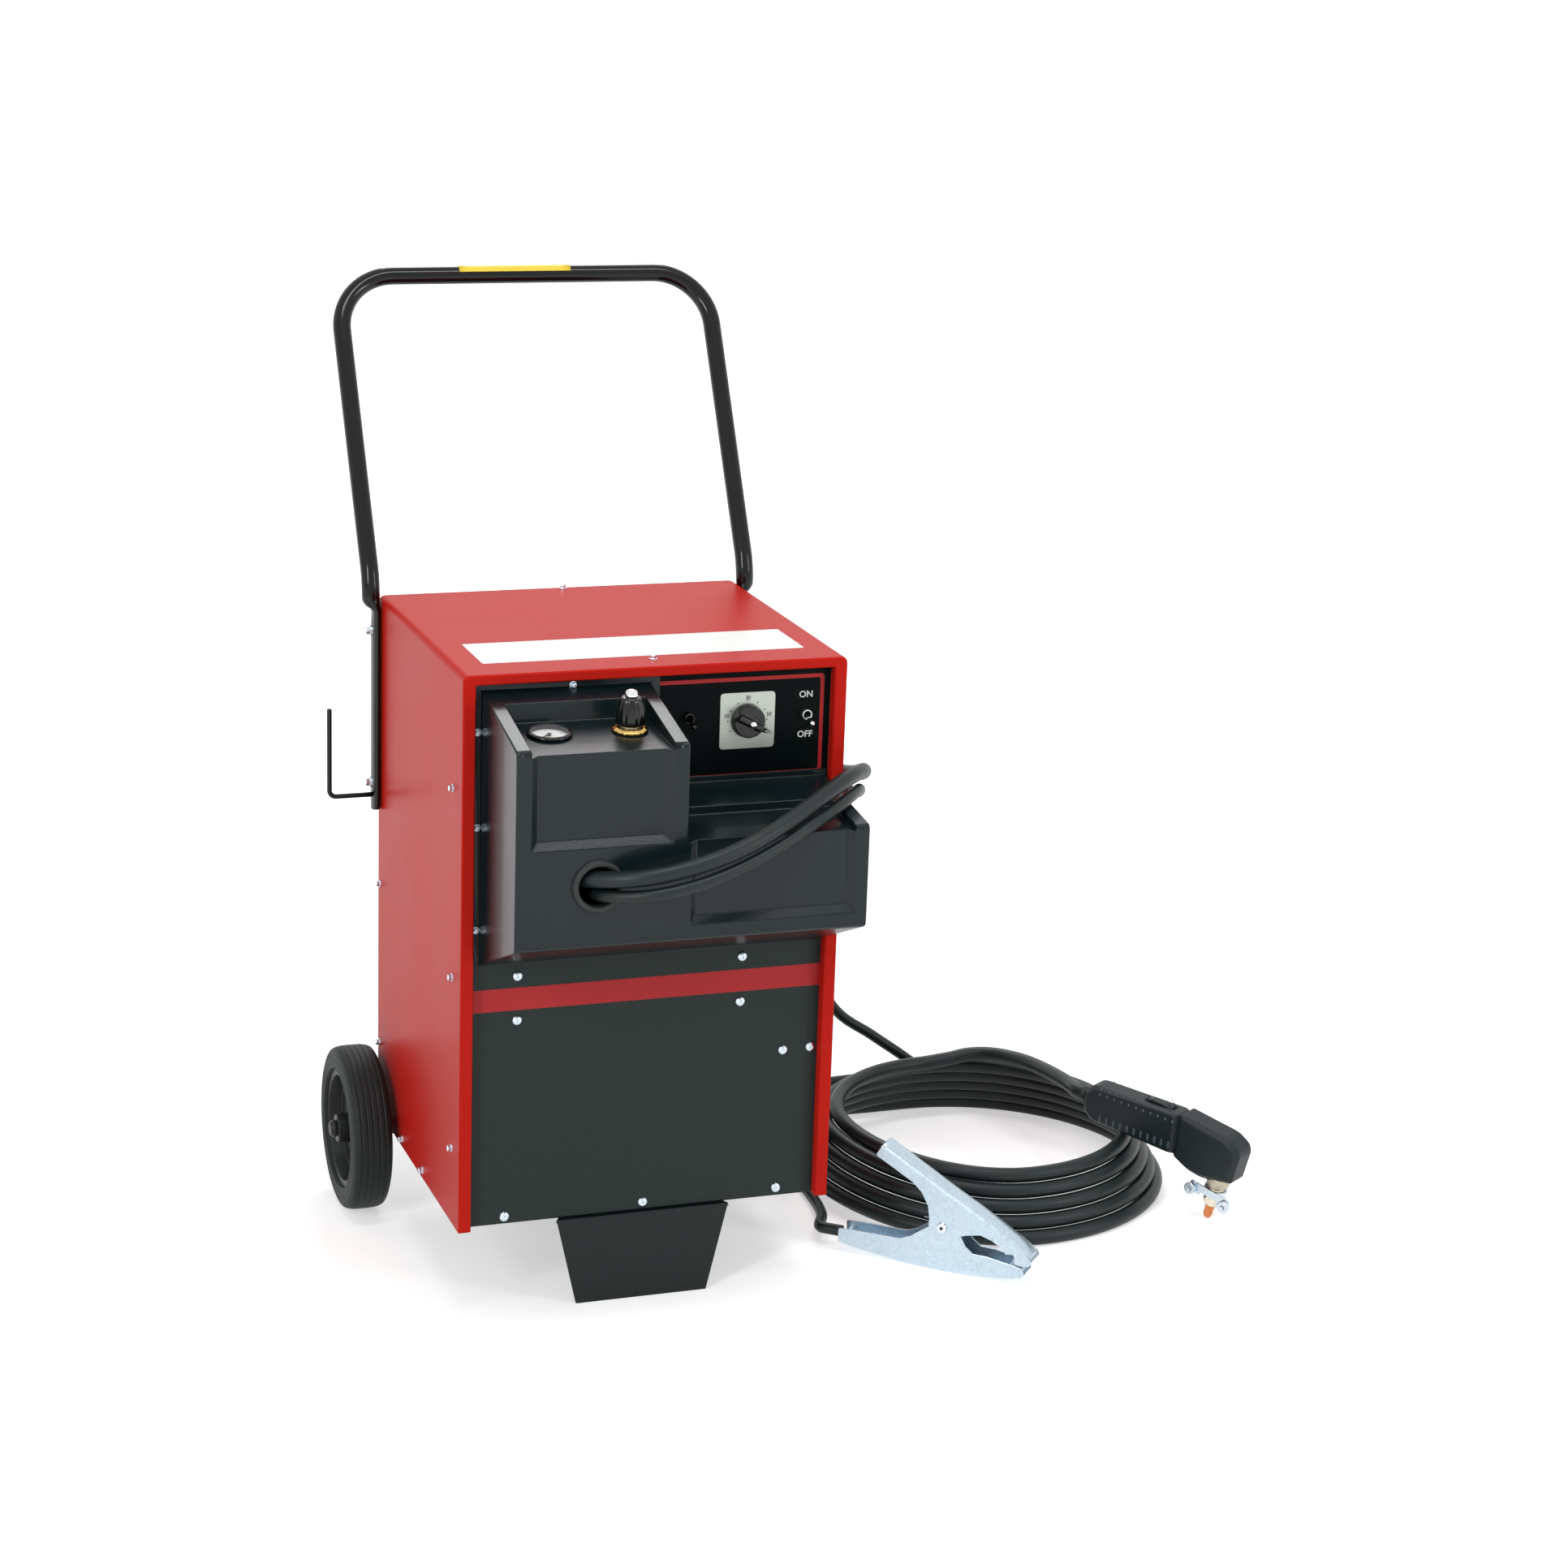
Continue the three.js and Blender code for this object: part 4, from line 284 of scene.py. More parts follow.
def carried_frames(line):
    """Tangents, and side and upper directions turned as little as possible along the line."""
    tangent = np.gradient(line, axis=0)
    tangent /= np.linalg.norm(tangent, axis=1)[:, None]
    side = np.empty_like(tangent)
    start = np.array((0.0, 0.0, 1.0)) if abs(tangent[0][2]) < 0.9 else np.array((1.0, 0, 0))
    for i, along in enumerate(tangent):
        start = start - along * (start @ along)
        start /= np.linalg.norm(start)
        side[i] = start
    return tangent, side, np.cross(tangent, side)


def round_tube(line, radius, sides):
    """A circle of the radius carried along the line, square to it, with flat closed ends."""
    _, side, over = carried_frames(line)
    angle = np.linspace(0, 2 * np.pi, sides, endpoint=False)
    radius = np.broadcast_to(radius, len(line))[:, None, None]
    ring = side[:, None] * np.cos(angle)[:, None] + over[:, None] * np.sin(angle)[:, None]
    points = line[:, None] + ring * radius
    faces = grid_faces(len(line), sides).tolist()
    faces.append(list(range(sides))[::-1])
    faces.append(list(range((len(line) - 1) * sides, len(line) * sides)))
    return points.reshape(-1, 3), faces


hose_rubber = surface(
    "hose_rubber",
    tone(22, 33, 33),
    0.42,
    mirror=0.34,
    variation=0.25,
    cloud=30,
    grain=900,
    depth=0.00012,
    speckle=0.35,
    spread=0.15,
)


def coil_line(turns):
    """A cone of turns, clockwise from above: each turn lies on the one under it at the slope
    coil_lie, and draws in and climbs by one pitch over its left quarter, 3t^2 - 2t^3 of it."""
    share = np.clip((turns[:, None] - np.arange(coil_turns) - 0.5) * 4, 0, 1)
    share = share**2 * (3 - 2 * share)
    level = share[:, :-1].sum(1)
    lie = coil_lie + (last_lie - coil_lie) * share[:, -1]
    last = turns > coil_turns - 0.5
    under = np.where(last, coil_turns - 2 + share[:, -1], level)
    radius = coil_radius - under * coil_pitch * math.cos(coil_lie)
    height = coil_base + under * coil_pitch * math.sin(coil_lie)
    radius = radius - np.where(last, coil_pitch * np.cos(lie), 0)
    height = height + np.where(last, coil_pitch * np.sin(lie), 0)
    angle = np.pi / 2 - 2 * np.pi * turns
    return np.stack(
        [
            coil_centre[0] + radius * np.cos(angle),
            coil_centre[1] + radius * np.sin(angle),
            height,
        ],
        1,
    )


coil = coil_line(np.linspace(0, coil_turns, coil_turns * 96 + 1))
straight = np.array((hose_diameter, 0, 0))
hose_exit = np.array((-0.150, -0.0143, 0.552))
hose_route = (
    np.array(
        [
            (-150, -33.3, 552),
            (-148, -70, 555),
            (-136, -112, 562),
            (-111, -152, 568),
            (-66, -184, 576),
            (-5, -188, 587),
            (52, -177, 601),
            (110, -152, 619),
            (165, -116, 636),
            (210, -77, 644),
            (240, -36, 637),
            (254, 6, 623),
            (259, 60, 607),
            (261, 180, 580),
            (258, 300, 552),
            (252, 384, 536.5),
            (260, 440, 500),
            (275, 475, 400),
            (292, 486, 250),
            (322, 486, 110),
            (365, 484, 40),
            (420, 485, 13),
            (462, 486, 9.7),
        ]
    )
    / 1000
)
hose_down = flowing_line(np.vstack([hose_route, coil[0] - 2 * straight]))
away = np.array((0.019, -0.0018, 0.0024))
coil_out = coil[-1] + away
hose_over = flowing_line(
    np.vstack(
        [
            coil_out + away,
            np.array(
                [
                    (584, 421, 96),
                    (612, 405, 100),
                    (638, 360, 105),
                    (648, 300, 111),
                    (651, 240, 116),
                ]
            )
            / 1000,
            torch_rear - torch_axis * (hose_diameter + 0.0003),
        ]
    )
)
hose_line = np.vstack(
    [
        hose_exit,
        evenly(hose_down, 0.009),
        coil[0] - straight,
        coil[:-1],
        coil[-1],
        coil_out,
        evenly(hose_over, 0.009),
        torch_rear - torch_axis * 0.0003,
    ]
)
hose_line = evenly(hose_line, 0.0085)
points, faces = round_tube(hose_line, hose_diameter / 2, 18)
torch_hose = build(
    "torch_hose_line",
    points,
    faces,
    hose_rubber,
    "machine",
    replaces=("torch_hose", "torch_hose_coil", "torch_hose_end"),
)

# ------------------------------------------------------------------ work lead
# One welding cable of 14 mm. It leaves the cover under the hose, hangs over the same hook,
# turns in a loop on the floor behind the coil and runs back into the clamp's lower handle.
lead_diameter = 0.014
lead_floor = lead_diameter / 2 + 0.00025
clamp_rear = np.array((0.2808, 0.072, 0))
clamp_heading = np.array((0.742, -0.67, 0))
clamp_heading /= np.linalg.norm(clamp_heading)


def arc(centre, radius, first, last, count, height):
    """Points on a level circle from one angle to another, in degrees."""
    angle = np.radians(np.linspace(first, last, count))
    return np.stack(
        [
            centre[0] + radius * np.cos(angle),
            centre[1] + radius * np.sin(angle),
            np.full(count, height),
        ],
        1,
    )


lead_exit = np.array((-0.106, -0.0143, 0.530))
lead_route = (
    np.array(
        [
            (-106, -28.3, 530),
            (-107, -70, 536),
            (-107, -120, 544),
            (-103, -156, 550),
            (-62, -189, 557),
            (-5, -193, 567),
            (54, -181, 582),
            (108, -163, 600),
            (138, -148, 611),
            (165, -130, 617),
            (200, -97, 624),
            (228, -56, 621),
            (247, -4, 603),
            (255, 60, 585),
            (264, 180, 560),
            (275, 300, 540),
            (271.5, 384, 532),
            (288, 440, 500),
            (322, 482, 380),
            (375, 502, 240),
            (428, 506, 143),
            (480, 506, 104),
            (523, 502, 73),
            (568, 508, 38),
            (612, 512, 12),
        ]
    )
    / 1000
)
lead_end = clamp_rear - clamp_heading * 0.0003
lead_end[2] = 0.020
lead_back = (
    np.array(
        [
            (560, 593, 7.25),
            (460, 590, 7.25),
            (380, 577, 7.25),
            (330, 545, 7.25),
            (304, 495, 7.25),
            (295, 440, 7.25),
            (294.3, 380, 7.25),
            (294.3, 320, 7.25),
            (294, 250, 7.25),
            (290, 190, 8.25),
            (279, 140, 13.25),
        ]
    )
    / 1000
)
lead_line = flowing_line(
    np.vstack(
        [
            lead_route,
            arc((0.642, 0.552), 0.040, -90, 90, 7, lead_floor),
            lead_back,
            lead_end - clamp_heading * lead_diameter * 2,
            lead_end - clamp_heading * lead_diameter,
        ]
    )
)
lead_line = evenly(np.vstack([lead_exit, lead_line, lead_end]), 0.007)
points, faces = round_tube(lead_line, lead_diameter / 2, 14)
work_lead = build(
    "work_lead_line",
    points,
    faces,
    hose_rubber,
    "machine",
    replaces=("work_lead",),
)

# ------------------------------------------------------------------ cabinet
# A sheet of 1.5 mm steel folded to a top and two sides, with a rounded frame of lips in front.
# It is powder coated red, in a smooth half gloss that gathers a little at the folds.
import bmesh
from mathutils.bvhtree import BVHTree


def copied(node, name):
    """A copy of a node's mesh, and its editing form with the doubled corners merged."""
    mesh = nodes[node].data.copy()
    mesh.name = name
    work = bmesh.new()
    work.from_mesh(mesh)
    bmesh.ops.remove_doubles(work, verts=work.verts, dist=2e-6)
    return mesh, work


def creased(name, mesh, work, material, crease):
    """The edited mesh as an object: smooth, but sharp at edges over the crease angle."""
    work.to_mesh(mesh)
    work.free()
    mesh.polygons.foreach_set("use_smooth", np.full(len(mesh.polygons), True))
    mesh.set_sharp_from_angle(angle=math.radians(crease))
    mesh.materials.clear()
    mesh.materials.append(material)
    obj = bpy.data.objects.new(name, mesh)
    scene.collection.objects.link(obj)
    return obj


def settled(obj, node, body):
    """Shading that follows the larger faces; the piece takes the node's place on its body."""
    level_faces = obj.modifiers.new("normals", "WEIGHTED_NORMAL")
    level_faces.mode = "FACE_AREA"
    level_faces.weight = 100
    level_faces.keep_sharp = True
    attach(obj, body)
    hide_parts(node)
    return obj


def eased(name, node, material, body, width=0.0008, crease=32, segments=2):
    """A node's shape with flat faces joined and each edge sharper than the crease angle rounded
    by the width, as a press or a mould leaves it."""
    mesh, work = copied(node, name)
    bmesh.ops.dissolve_limit(
        work,
        angle_limit=math.radians(0.6),
        use_dissolve_boundaries=False,
        verts=work.verts,
        edges=work.edges,
    )
    obj = creased(name, mesh, work, material, crease)
    if width:
        soften = obj.modifiers.new("edges", "BEVEL")
        soften.width = width
        soften.segments = segments
        soften.limit_method = "ANGLE"
        soften.angle_limit = math.radians(crease)
        soften.use_clamp_overlap = False
    return settled(obj, node, body)


red_paint = surface(
    "red_paint",
    tone(200, 34, 24),
    0.36,
    ior=1.15,
    variation=0.07,
    cloud=9,
    grain=420,
    depth=0.00004,
    speckle=0.05,
    spread=0.1,
)
eased("cabinet_shell", "cabinet_wrap", red_paint, "machine", 0.0009, 40)

# ------------------------------------------------------------------ front panel and its print
# A flat steel panel with a dark printed overlay: charcoal below, near black round the controls,
# a broad red band and a thin red frame. The places of lettering are left bare.
panel_film = surface(
    "panel_film",
    tone(38, 48, 46),
    0.5,
    mirror=0.22,
    variation=0.14,
    cloud=12,
    grain=900,
    depth=0.00006,
    speckle=0.6,
    spread=0.1,
)
eased("panel_sheet", "front_panel", panel_film, "machine", 0.0)


def rounded_outline(x0, x1, z0, z1, radius, steps=6):
    """Corners of a rectangle, each replaced by a quarter circle, anticlockwise."""
    turn_angle = np.linspace(0, np.pi / 2, steps)
    parts = []
    for quarter, (cx, cz) in enumerate(
        (
            (x1 - radius, z1 - radius),
            (x0 + radius, z1 - radius),
            (x0 + radius, z0 + radius),
            (x1 - radius, z0 + radius),
        )
    ):
        angle = turn_angle + quarter * np.pi / 2
        parts.append(np.stack([cx + radius * np.cos(angle), cz + radius * np.sin(angle)], 1))
    return np.vstack(parts)


def on_front(outline, y):
    """A drawing in x and z stood up at the depth y."""
    return np.stack([outline[:, 0], np.full(len(outline), y), outline[:, 1]], 1)


def slab(front, back):
    """A closed plate between two loops of points: two end faces and a band of quads."""
    count = len(front)
    faces = grid_faces(2, count).tolist()
    faces.append(list(range(count))[::-1])
    faces.append(list(range(count, 2 * count)))
    return np.vstack([front, back]), faces


def gathered(parts):
    """Several pieces of mesh as one list of points and faces."""
    points, faces, start = [], [], 0
    for part_points, part_faces in parts:
        part_points = np.asarray(part_points).reshape(-1, 3)
        points.append(part_points)
        faces += [[index + start for index in face] for face in part_faces]
        start += len(part_points)
    return np.vstack(points), faces


def facing_out(obj):
    """Turns every closed part's faces outwards."""
    work = bmesh.new()
    work.from_mesh(obj.data)
    bmesh.ops.recalc_face_normals(work, faces=work.faces)
    work.to_mesh(obj.data)
    work.free()
    return obj


def print_plate(name, outline, material, front=-0.00016, back=-0.00006):
    """A layer of ink, just in front of the panel."""
    points, faces = slab(on_front(outline, front), on_front(outline, back))
    return facing_out(build(name, points, faces, material, "machine", False))


black_ink = surface(
    "black_ink",
    tone(4, 12, 12),
    0.4,
    mirror=0.06,
    variation=0.15,
    cloud=14,
    grain=800,
    depth=0.00003,
    speckle=0.3,
)
print_plate(
    "control_field",
    rounded_outline(-0.2095, 0.2095, 0.600, 0.7640, 0.001),
    black_ink,
    -0.00005,
    -0.00002,
)
red_ink = surface(
    "red_ink",
    tone(186, 40, 44),
    0.45,
    mirror=0.3,
    variation=0.08,
    cloud=14,
    grain=800,
    depth=0.00003,
    speckle=0.25,
)
print_plate(
    "red_band", rounded_outline(-0.2105, 0.2105, 0.369, 0.396, 0.0002), red_ink
)
outer = rounded_outline(-0.004, 0.2025, 0.6285, 0.7455, 0.004)
inner = rounded_outline(0.0005, 0.198, 0.633, 0.741, 0.0025)
loops = [on_front(loop, y) for y, loop in ((-0.00016, outer), (-0.00016, inner))]
loops += [on_front(loop, -0.00006) for loop in (inner, outer)]
faces = grid_faces(4, len(outer), closed_along=True).tolist()
frame_line = build(
    "red_frame_line", np.vstack(loops), faces, red_ink, "machine", False
)
facing_out(frame_line)

# ------------------------------------------------------------------ label on the top
# A white vinyl strip across the top behind the front edge. It carries no print.
white_vinyl = surface(
    "white_vinyl",
    tone(248, 248, 246),
    0.38,
    variation=0.03,
    cloud=20,
    grain=700,
    depth=0.00002,
    spread=0.06,
)
strip = rounded_outline(-0.190, 0.190, 0.036, 0.129, 0.003)
strip_top, strip_under = (
    np.stack([strip[:, 0], strip[:, 1], np.full(len(strip), z)], 1) for z in (0.7672, 0.76705)
)
points, faces = slab(strip_top, strip_under)
facing_out(build("top_label", points, faces, white_vinyl, "machine", False))

# ------------------------------------------------------------------ moulded cover
# One vacuum-formed shell of thick black plastic with a fine pebbled skin, soft glossy edges,
# two sunken pockets and two sunken faces. Its flange sits behind the cabinet's lips.
moulding = surface(
    "moulding",
    tone(12, 27, 30),
    0.3,
    mirror=0.24,
    variation=0.2,
    cloud=10,
    grain=420,
    depth=0.00016,
    speckle=0.5,
    spread=0.12,
    coat=0.16,
)


def moulded(name, node, material, body, radius, crease, shortest):
    """A node's shape with every edge longer than the shortest rounded to the radius. A corner
    that the rounding throws off the old surface is put back on its nearest point."""
    mesh, work = copied(node, name)
    old_surface = BVHTree.FromBMesh(work)
    long_edges = [
        edge
        for edge in work.edges
        if edge.calc_face_angle() > math.radians(crease) and edge.calc_length() > shortest
    ]
    bmesh.ops.bevel(
        work,
        geom=long_edges,
        offset=radius,
        offset_type="OFFSET",
        segments=3,
        profile=0.5,
        affect="EDGES",
        clamp_overlap=False,
    )
    for corner in work.verts:
        nearest = old_surface.find_nearest(corner.co)
        if nearest[3] > 0.4 * radius:
            corner.co = nearest[0]
    bmesh.ops.remove_doubles(work, verts=work.verts, dist=2e-5)
    obj = creased(name, mesh, work, material, crease)
    return settled(obj, node, body)


moulded("moulded_cover", "front_cover", moulding, "machine", 0.0012, 30, 0.012)
edge_rubber = surface(
    "edge_rubber", tone(26, 30, 31), 0.5, variation=0.1, grain=800, depth=0.00006
)
eased("hole_edging", "hole_grommet", edge_rubber, "machine", 0.0009, 35)

# ------------------------------------------------------------------ gauge
# A pressure gauge with a pressed black case, a white dial with dark marks, a needle and a
# clear window. It stands through the floor of the tall pocket.
shiny_plastic = surface(
    "shiny_plastic", tone(10, 12, 14), 0.2, variation=0.08, depth=0.00002, mirror=0.3, coat=0.2
)
eased("gauge_shell", "gauge_case", shiny_plastic, "machine", 0.0007, 35)
gauge_low, gauge_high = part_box("gauge_lens")
gauge_centre = (np.array(gauge_low) + np.array(gauge_high)) / 2
pocket_tilt = math.radians(4.8)
gauge_up = np.array((0, -math.sin(pocket_tilt), math.cos(pocket_tilt)))
gauge_depth = np.cross(gauge_up, (1.0, 0, 0))
dial_face = gauge_centre - gauge_up * 0.0047


def on_dial(radius, angle, height):
    """Polar places on the dial, the angle running anticlockwise from the right."""
    radius, angle, height = np.broadcast_arrays(radius, angle, height)
    across = (radius * np.cos(angle))[..., None] * np.array((1.0, 0, 0))
    upwards = (radius * np.sin(angle))[..., None] * gauge_depth
    return dial_face + across + upwards + height[..., None] * gauge_up


circle = np.linspace(0, 2 * np.pi, 48, endpoint=False)
dial_white = surface("dial_white", tone(252, 252, 250), 0.5, variation=0.04, depth=0.00001)
points, faces = slab(on_dial(0.0212, circle, 0.0003), on_dial(0.0212, circle, -0.0002))
facing_out(build("gauge_dial", points, faces, dial_white, "machine", False))
dial_ink = surface("dial_ink", tone(24, 26, 30), 0.5, variation=0.1, depth=0.00001)


def dial_mark(angle, inner, outer, half):
    """A short bar of ink pointing at the dial's centre."""
    corners = np.array(((inner, -half), (outer, -half), (outer, half), (inner, half)))
    radius = np.hypot(corners[:, 0], corners[:, 1])
    bearing = angle + np.arctan2(corners[:, 1], corners[:, 0])
    return slab(on_dial(radius, bearing, 0.00045), on_dial(radius, bearing, 0.00032))


marks = [
    dial_mark(math.radians(225 - 270 * i / 20), 0.0172, 0.0190, 0.00012)
    if i % 5
    else dial_mark(math.radians(225 - 270 * i / 20), 0.0150, 0.0190, 0.0003)
    for i in range(21)
]
sweep_angle = np.radians(np.linspace(225, -45, 60))
band = np.stack([on_dial(r, sweep_angle, h) for r, h in
                 ((0.0190, 0.00045), (0.0192, 0.00045), (0.0192, 0.00032), (0.0190, 0.00032))], 1)
band_faces = grid_faces(60, 4).tolist() + [[3, 2, 1, 0], [236, 237, 238, 239]]
points, faces = gathered(marks + [(band.reshape(-1, 3), band_faces)])
facing_out(build("dial_marks", points, faces, dial_ink, "machine", False))
needle_black = surface("needle_black", tone(20, 20, 22), 0.4, depth=0.00001)
eased("gauge_pointer", "gauge_needle", needle_black, "needle", 0.0002, 40)

# ------------------------------------------------------------------ air regulator
# A die-cast body under the pocket with a brass ring nut on its neck and a black fluted knob
# with a bright cap.
aluminium = surface(
    "aluminium", tone(196, 198, 194), 0.34, metallic=1, variation=0.15, cloud=40, spread=0.15
)
brass = surface(
    "brass", tone(214, 178, 104), 0.2, metallic=1, variation=0.2, cloud=60, depth=0.00002
)
eased("regulator_casting", "regulator_body", aluminium, "machine", 0.0006, 35)


def turned_up(profile, place, axis, sides=32, lobes=None):
    """A profile of (radius, height) pairs turned round an axis; where it meets the axis the end
    is one point. lobes(angle, index) scales the radius, for flats, flutes and knurls."""
    profile = np.asarray(profile, float)
    axis = np.asarray(axis, float) / np.linalg.norm(axis)
    helper = np.array((0, 0, 1.0)) if abs(axis[2]) < 0.9 else np.array((1.0, 0, 0))
    across = np.cross(helper, axis)
    across /= np.linalg.norm(across)
    over = np.cross(axis, across)
    rings = profile[profile[:, 0] > 1e-9]
    angle = np.linspace(0, 2 * np.pi, sides, endpoint=False)
    scale = np.ones((len(rings), sides))
    if lobes:
        scale = lobes(angle[None], np.arange(len(rings))[:, None]) * scale
    radius = rings[:, :1] * scale
    points = (
        np.asarray(place)
        + (radius * np.cos(angle))[..., None] * across
        + (radius * np.sin(angle))[..., None] * over
        + (rings[:, 1:] * np.ones(sides))[..., None] * axis
    ).reshape(-1, 3)
    count = len(rings)
    closed = profile[0, 0] > 1e-9 and profile[-1, 0] > 1e-9
    faces = grid_faces(count, sides, closed_along=closed).tolist()
    ring = np.arange(sides)
    for end, pair in ((0, profile[0]), (count - 1, profile[-1])):
        if not closed and pair[0] <= 1e-9:
            pole = len(points)
            points = np.vstack([points, np.asarray(place) + pair[1] * axis])
            faces += np.stack([ring + end * sides, (ring + 1) % sides + end * sides,
                               np.full(sides, pole)], 1).tolist()
    return points, faces


knob_low, knob_high = (np.array(corner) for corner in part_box("regulator_knob"))
regulator_foot = np.array(((knob_low[0] + knob_high[0]) / 2, -0.082, 0.7129))
regulator_up = gauge_up


def ring_nut_lobes(angle, index):
    """Sixteen shallow notches round the nut's rim: a raised cosine cut off at the top."""
    return 1 - 0.035 * np.clip(np.cos(16 * angle) - 0.2, 0, 1)


points, faces = turned_up(
    [(0.0124, 0.0013), (0.0198, 0.0013), (0.0204, 0.0018), (0.0204, 0.0038), (0.0198, 0.0046),
     (0.0180, 0.0050), (0.0172, 0.0060), (0.0150, 0.0064), (0.0124, 0.0060)],
    regulator_foot, regulator_up, 96, ring_nut_lobes,
)
facing_out(build("regulator_ring", points, faces, brass, "machine", replaces=("regulator_nut",)))


def flutes(angle, index):
    """Fourteen flutes round the knob's skirt, deepest half way up and fading out at the cap."""
    depth = np.array([0, 0, 0.05, 0.06, 0.06, 0.055, 0.04, 0.01, 0, 0, 0])[np.clip(index, 0, 10)]
    return 1 - depth * (0.5 - 0.5 * np.cos(14 * angle))


knob_profile = [(0, 0.0140), (0.0076, 0.0135), (0.0076, 0.0092), (0.0158, 0.0092),
                (0.0165, 0.0104), (0.0165, 0.0130), (0.0160, 0.0220), (0.0128, 0.0360),
                (0.0118, 0.0385), (0.0104, 0.0400), (0.0098, 0.0402), (0, 0.0404)]
points, faces = turned_up(knob_profile, regulator_foot, regulator_up, 112, flutes)
facing_out(build("regulator_grip", points, faces, shiny_plastic, "pressure_knob",
                 replaces=("regulator_knob",)))
chrome = surface("chrome", tone(226, 228, 230), 0.1, metallic=1, variation=0.1, depth=0.00001)
points, faces = turned_up(
    [(0, 0.0404), (0.0066, 0.0404), (0.0072, 0.0410), (0.0074, 0.0425), (0.0070, 0.0450),
     (0.0056, 0.0472), (0.0030, 0.0483), (0, 0.0486)],
    regulator_foot, regulator_up, 40,
)
facing_out(build("regulator_cap", points, faces, chrome, "pressure_knob"))

# ------------------------------------------------------------------ control switches
# A brushed steel plate with a black rotary knob, and two toggles: the run toggle's bush and bat in
# black plastic, the power toggle's bush in aluminium and its bat in chrome. The plate has dots and
# plain numbers; the power toggle is marked on and off.
brushed_steel = surface(  # rubbed in strokes: the noise is thirty times finer up the plate
    "brushed_steel",
    tone(184, 191, 182),
    0.38,
    metallic=0.75,
    variation=0.35,
    cloud=30,
    grain=500,
    depth=0.00002,
    spread=0.25,
    stretch=(1, 1, 30),
)
eased("switch_dial_plate", "switch_plate", brushed_steel, "machine", 0.0004, 35)
knob_black = surface(
    "knob_black", tone(8, 10, 11), 0.2, variation=0.1, depth=0.00001, mirror=0.3, coat=0.2
)
eased("rotary_knob", "amps_knob", knob_black, "current_knob", 0.0011, 32, 3)
switch_parts = (
    ("run_bush", "run_toggle_body", "machine", shiny_plastic),
    ("power_bush", "power_toggle_body", "machine", aluminium),
    ("run_bat", "run_toggle_lever", "run_lever", shiny_plastic),
    ("power_bat", "power_toggle_lever", "power_lever", chrome),
)
for name, node, body, finish in switch_parts:
    eased(name, node, finish, body, 0.0003, 40)

amps = np.array((0.1105, 0, 0.695))
knob_turn = math.radians(28)
wing = np.array((math.cos(knob_turn), 0, -math.sin(knob_turn)))
light_ink = surface("light_ink", tone(226, 230, 228), 0.45, variation=0.05, depth=0.00001)
# The white line on the pointer's sloping end.
wing_side = np.cross(wing, (0, 1.0, 0))
start, end = amps + wing * 0.0170, amps + wing * 0.0285
line_corners = np.array(
    [start + wing_side * 0.0007, end + wing_side * 0.0004, end - wing_side * 0.0004,
     start - wing_side * 0.0007]
)
line_corners[:, 1] = (-0.0221, -0.0158, -0.0158, -0.0221)
under_line = line_corners + np.array((0, 0.0010, 0))
points, faces = slab(line_corners, under_line)
facing_out(build("pointer_line", points, faces, light_ink, "current_knob", False))
points, faces = turned_up(
    [(0, 0.0214), (0.0035, 0.0214), (0.0042, 0.0222), (0.0042, 0.0238), (0.0030, 0.0252),
     (0, 0.0258)],
    (amps[0], 0, amps[2]), (0, -1, 0), 24,
)
facing_out(build("knob_screw", points, faces, chrome, "current_knob"))


def text_piece(name, words, size, place, material, body):
    """Plain letters 0.1 mm thick on the front, centred on a place in x and z."""
    curve = bpy.data.curves.new(name, "FONT")
    curve.body = words
    curve.size = size
    curve.align_x, curve.align_y = "CENTER", "CENTER"
    curve.extrude = 0.00005
    curve.offset = size * 0.02
    curve.resolution_u = 4
    flat = bpy.data.objects.new(name, curve)
    scene.collection.objects.link(flat)
    bpy.context.view_layer.update()
    mesh = bpy.data.meshes.new_from_object(flat)
    bpy.data.objects.remove(flat)
    mesh.transform(Matrix.Translation(place) @ Matrix.Rotation(math.pi / 2, 4, "X"))
    mesh.materials.clear()
    mesh.materials.append(material)
    obj = bpy.data.objects.new(name, mesh)
    scene.collection.objects.link(obj)
    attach(obj, body)
    return obj


text_piece("mark_on", "ON", 0.0105, (0.181, -0.00011, 0.7215), light_ink, "machine")
text_piece("mark_off", "OFF", 0.0105, (0.181, -0.00011, 0.6745), light_ink, "machine")
for number, x, z in (("10", 0.0850, 0.7010), ("30", 0.1105, 0.7215), ("50", 0.1362, 0.7010)):
    text_piece("number_" + number, number, 0.0062, (x, -0.00161, z), dial_ink, "machine")
dots = []
for angle in np.radians(np.arange(-30, 211, 30)):
    spot = (amps[0] + 0.0235 * math.cos(angle), -0.0015, amps[2] + 0.0235 * math.sin(angle))
    dots.append(turned_up([(0, -0.0001), (0.0009, -0.0001), (0.0009, 0.00012), (0, 0.00012)],
                          spot, (0, -1, 0), 12))
points, faces = gathered(dots)
facing_out(build("plate_dots", points, faces, dial_ink, "machine", False))

# ------------------------------------------------------------------ push handle
# One round steel tube of 22 mm, bent twice, its ends pressed flat and bolted to the cabinet's
# sides. It is painted gloss black; a yellow paper band without print is stuck round its bar.
gloss_paint = surface(
    "gloss_paint",
    tone(6, 8, 9),
    0.14,
    mirror=0.24,
    variation=0.08,
    cloud=25,
    grain=260,
    depth=0.00002,
    coat=0.15,
)
leg_x, leg_y, lean, bend = 0.23055, 0.384, math.radians(29.3), 0.070
tube_radius, cabinet_top, bar_height = 0.011, 0.767, 0.357


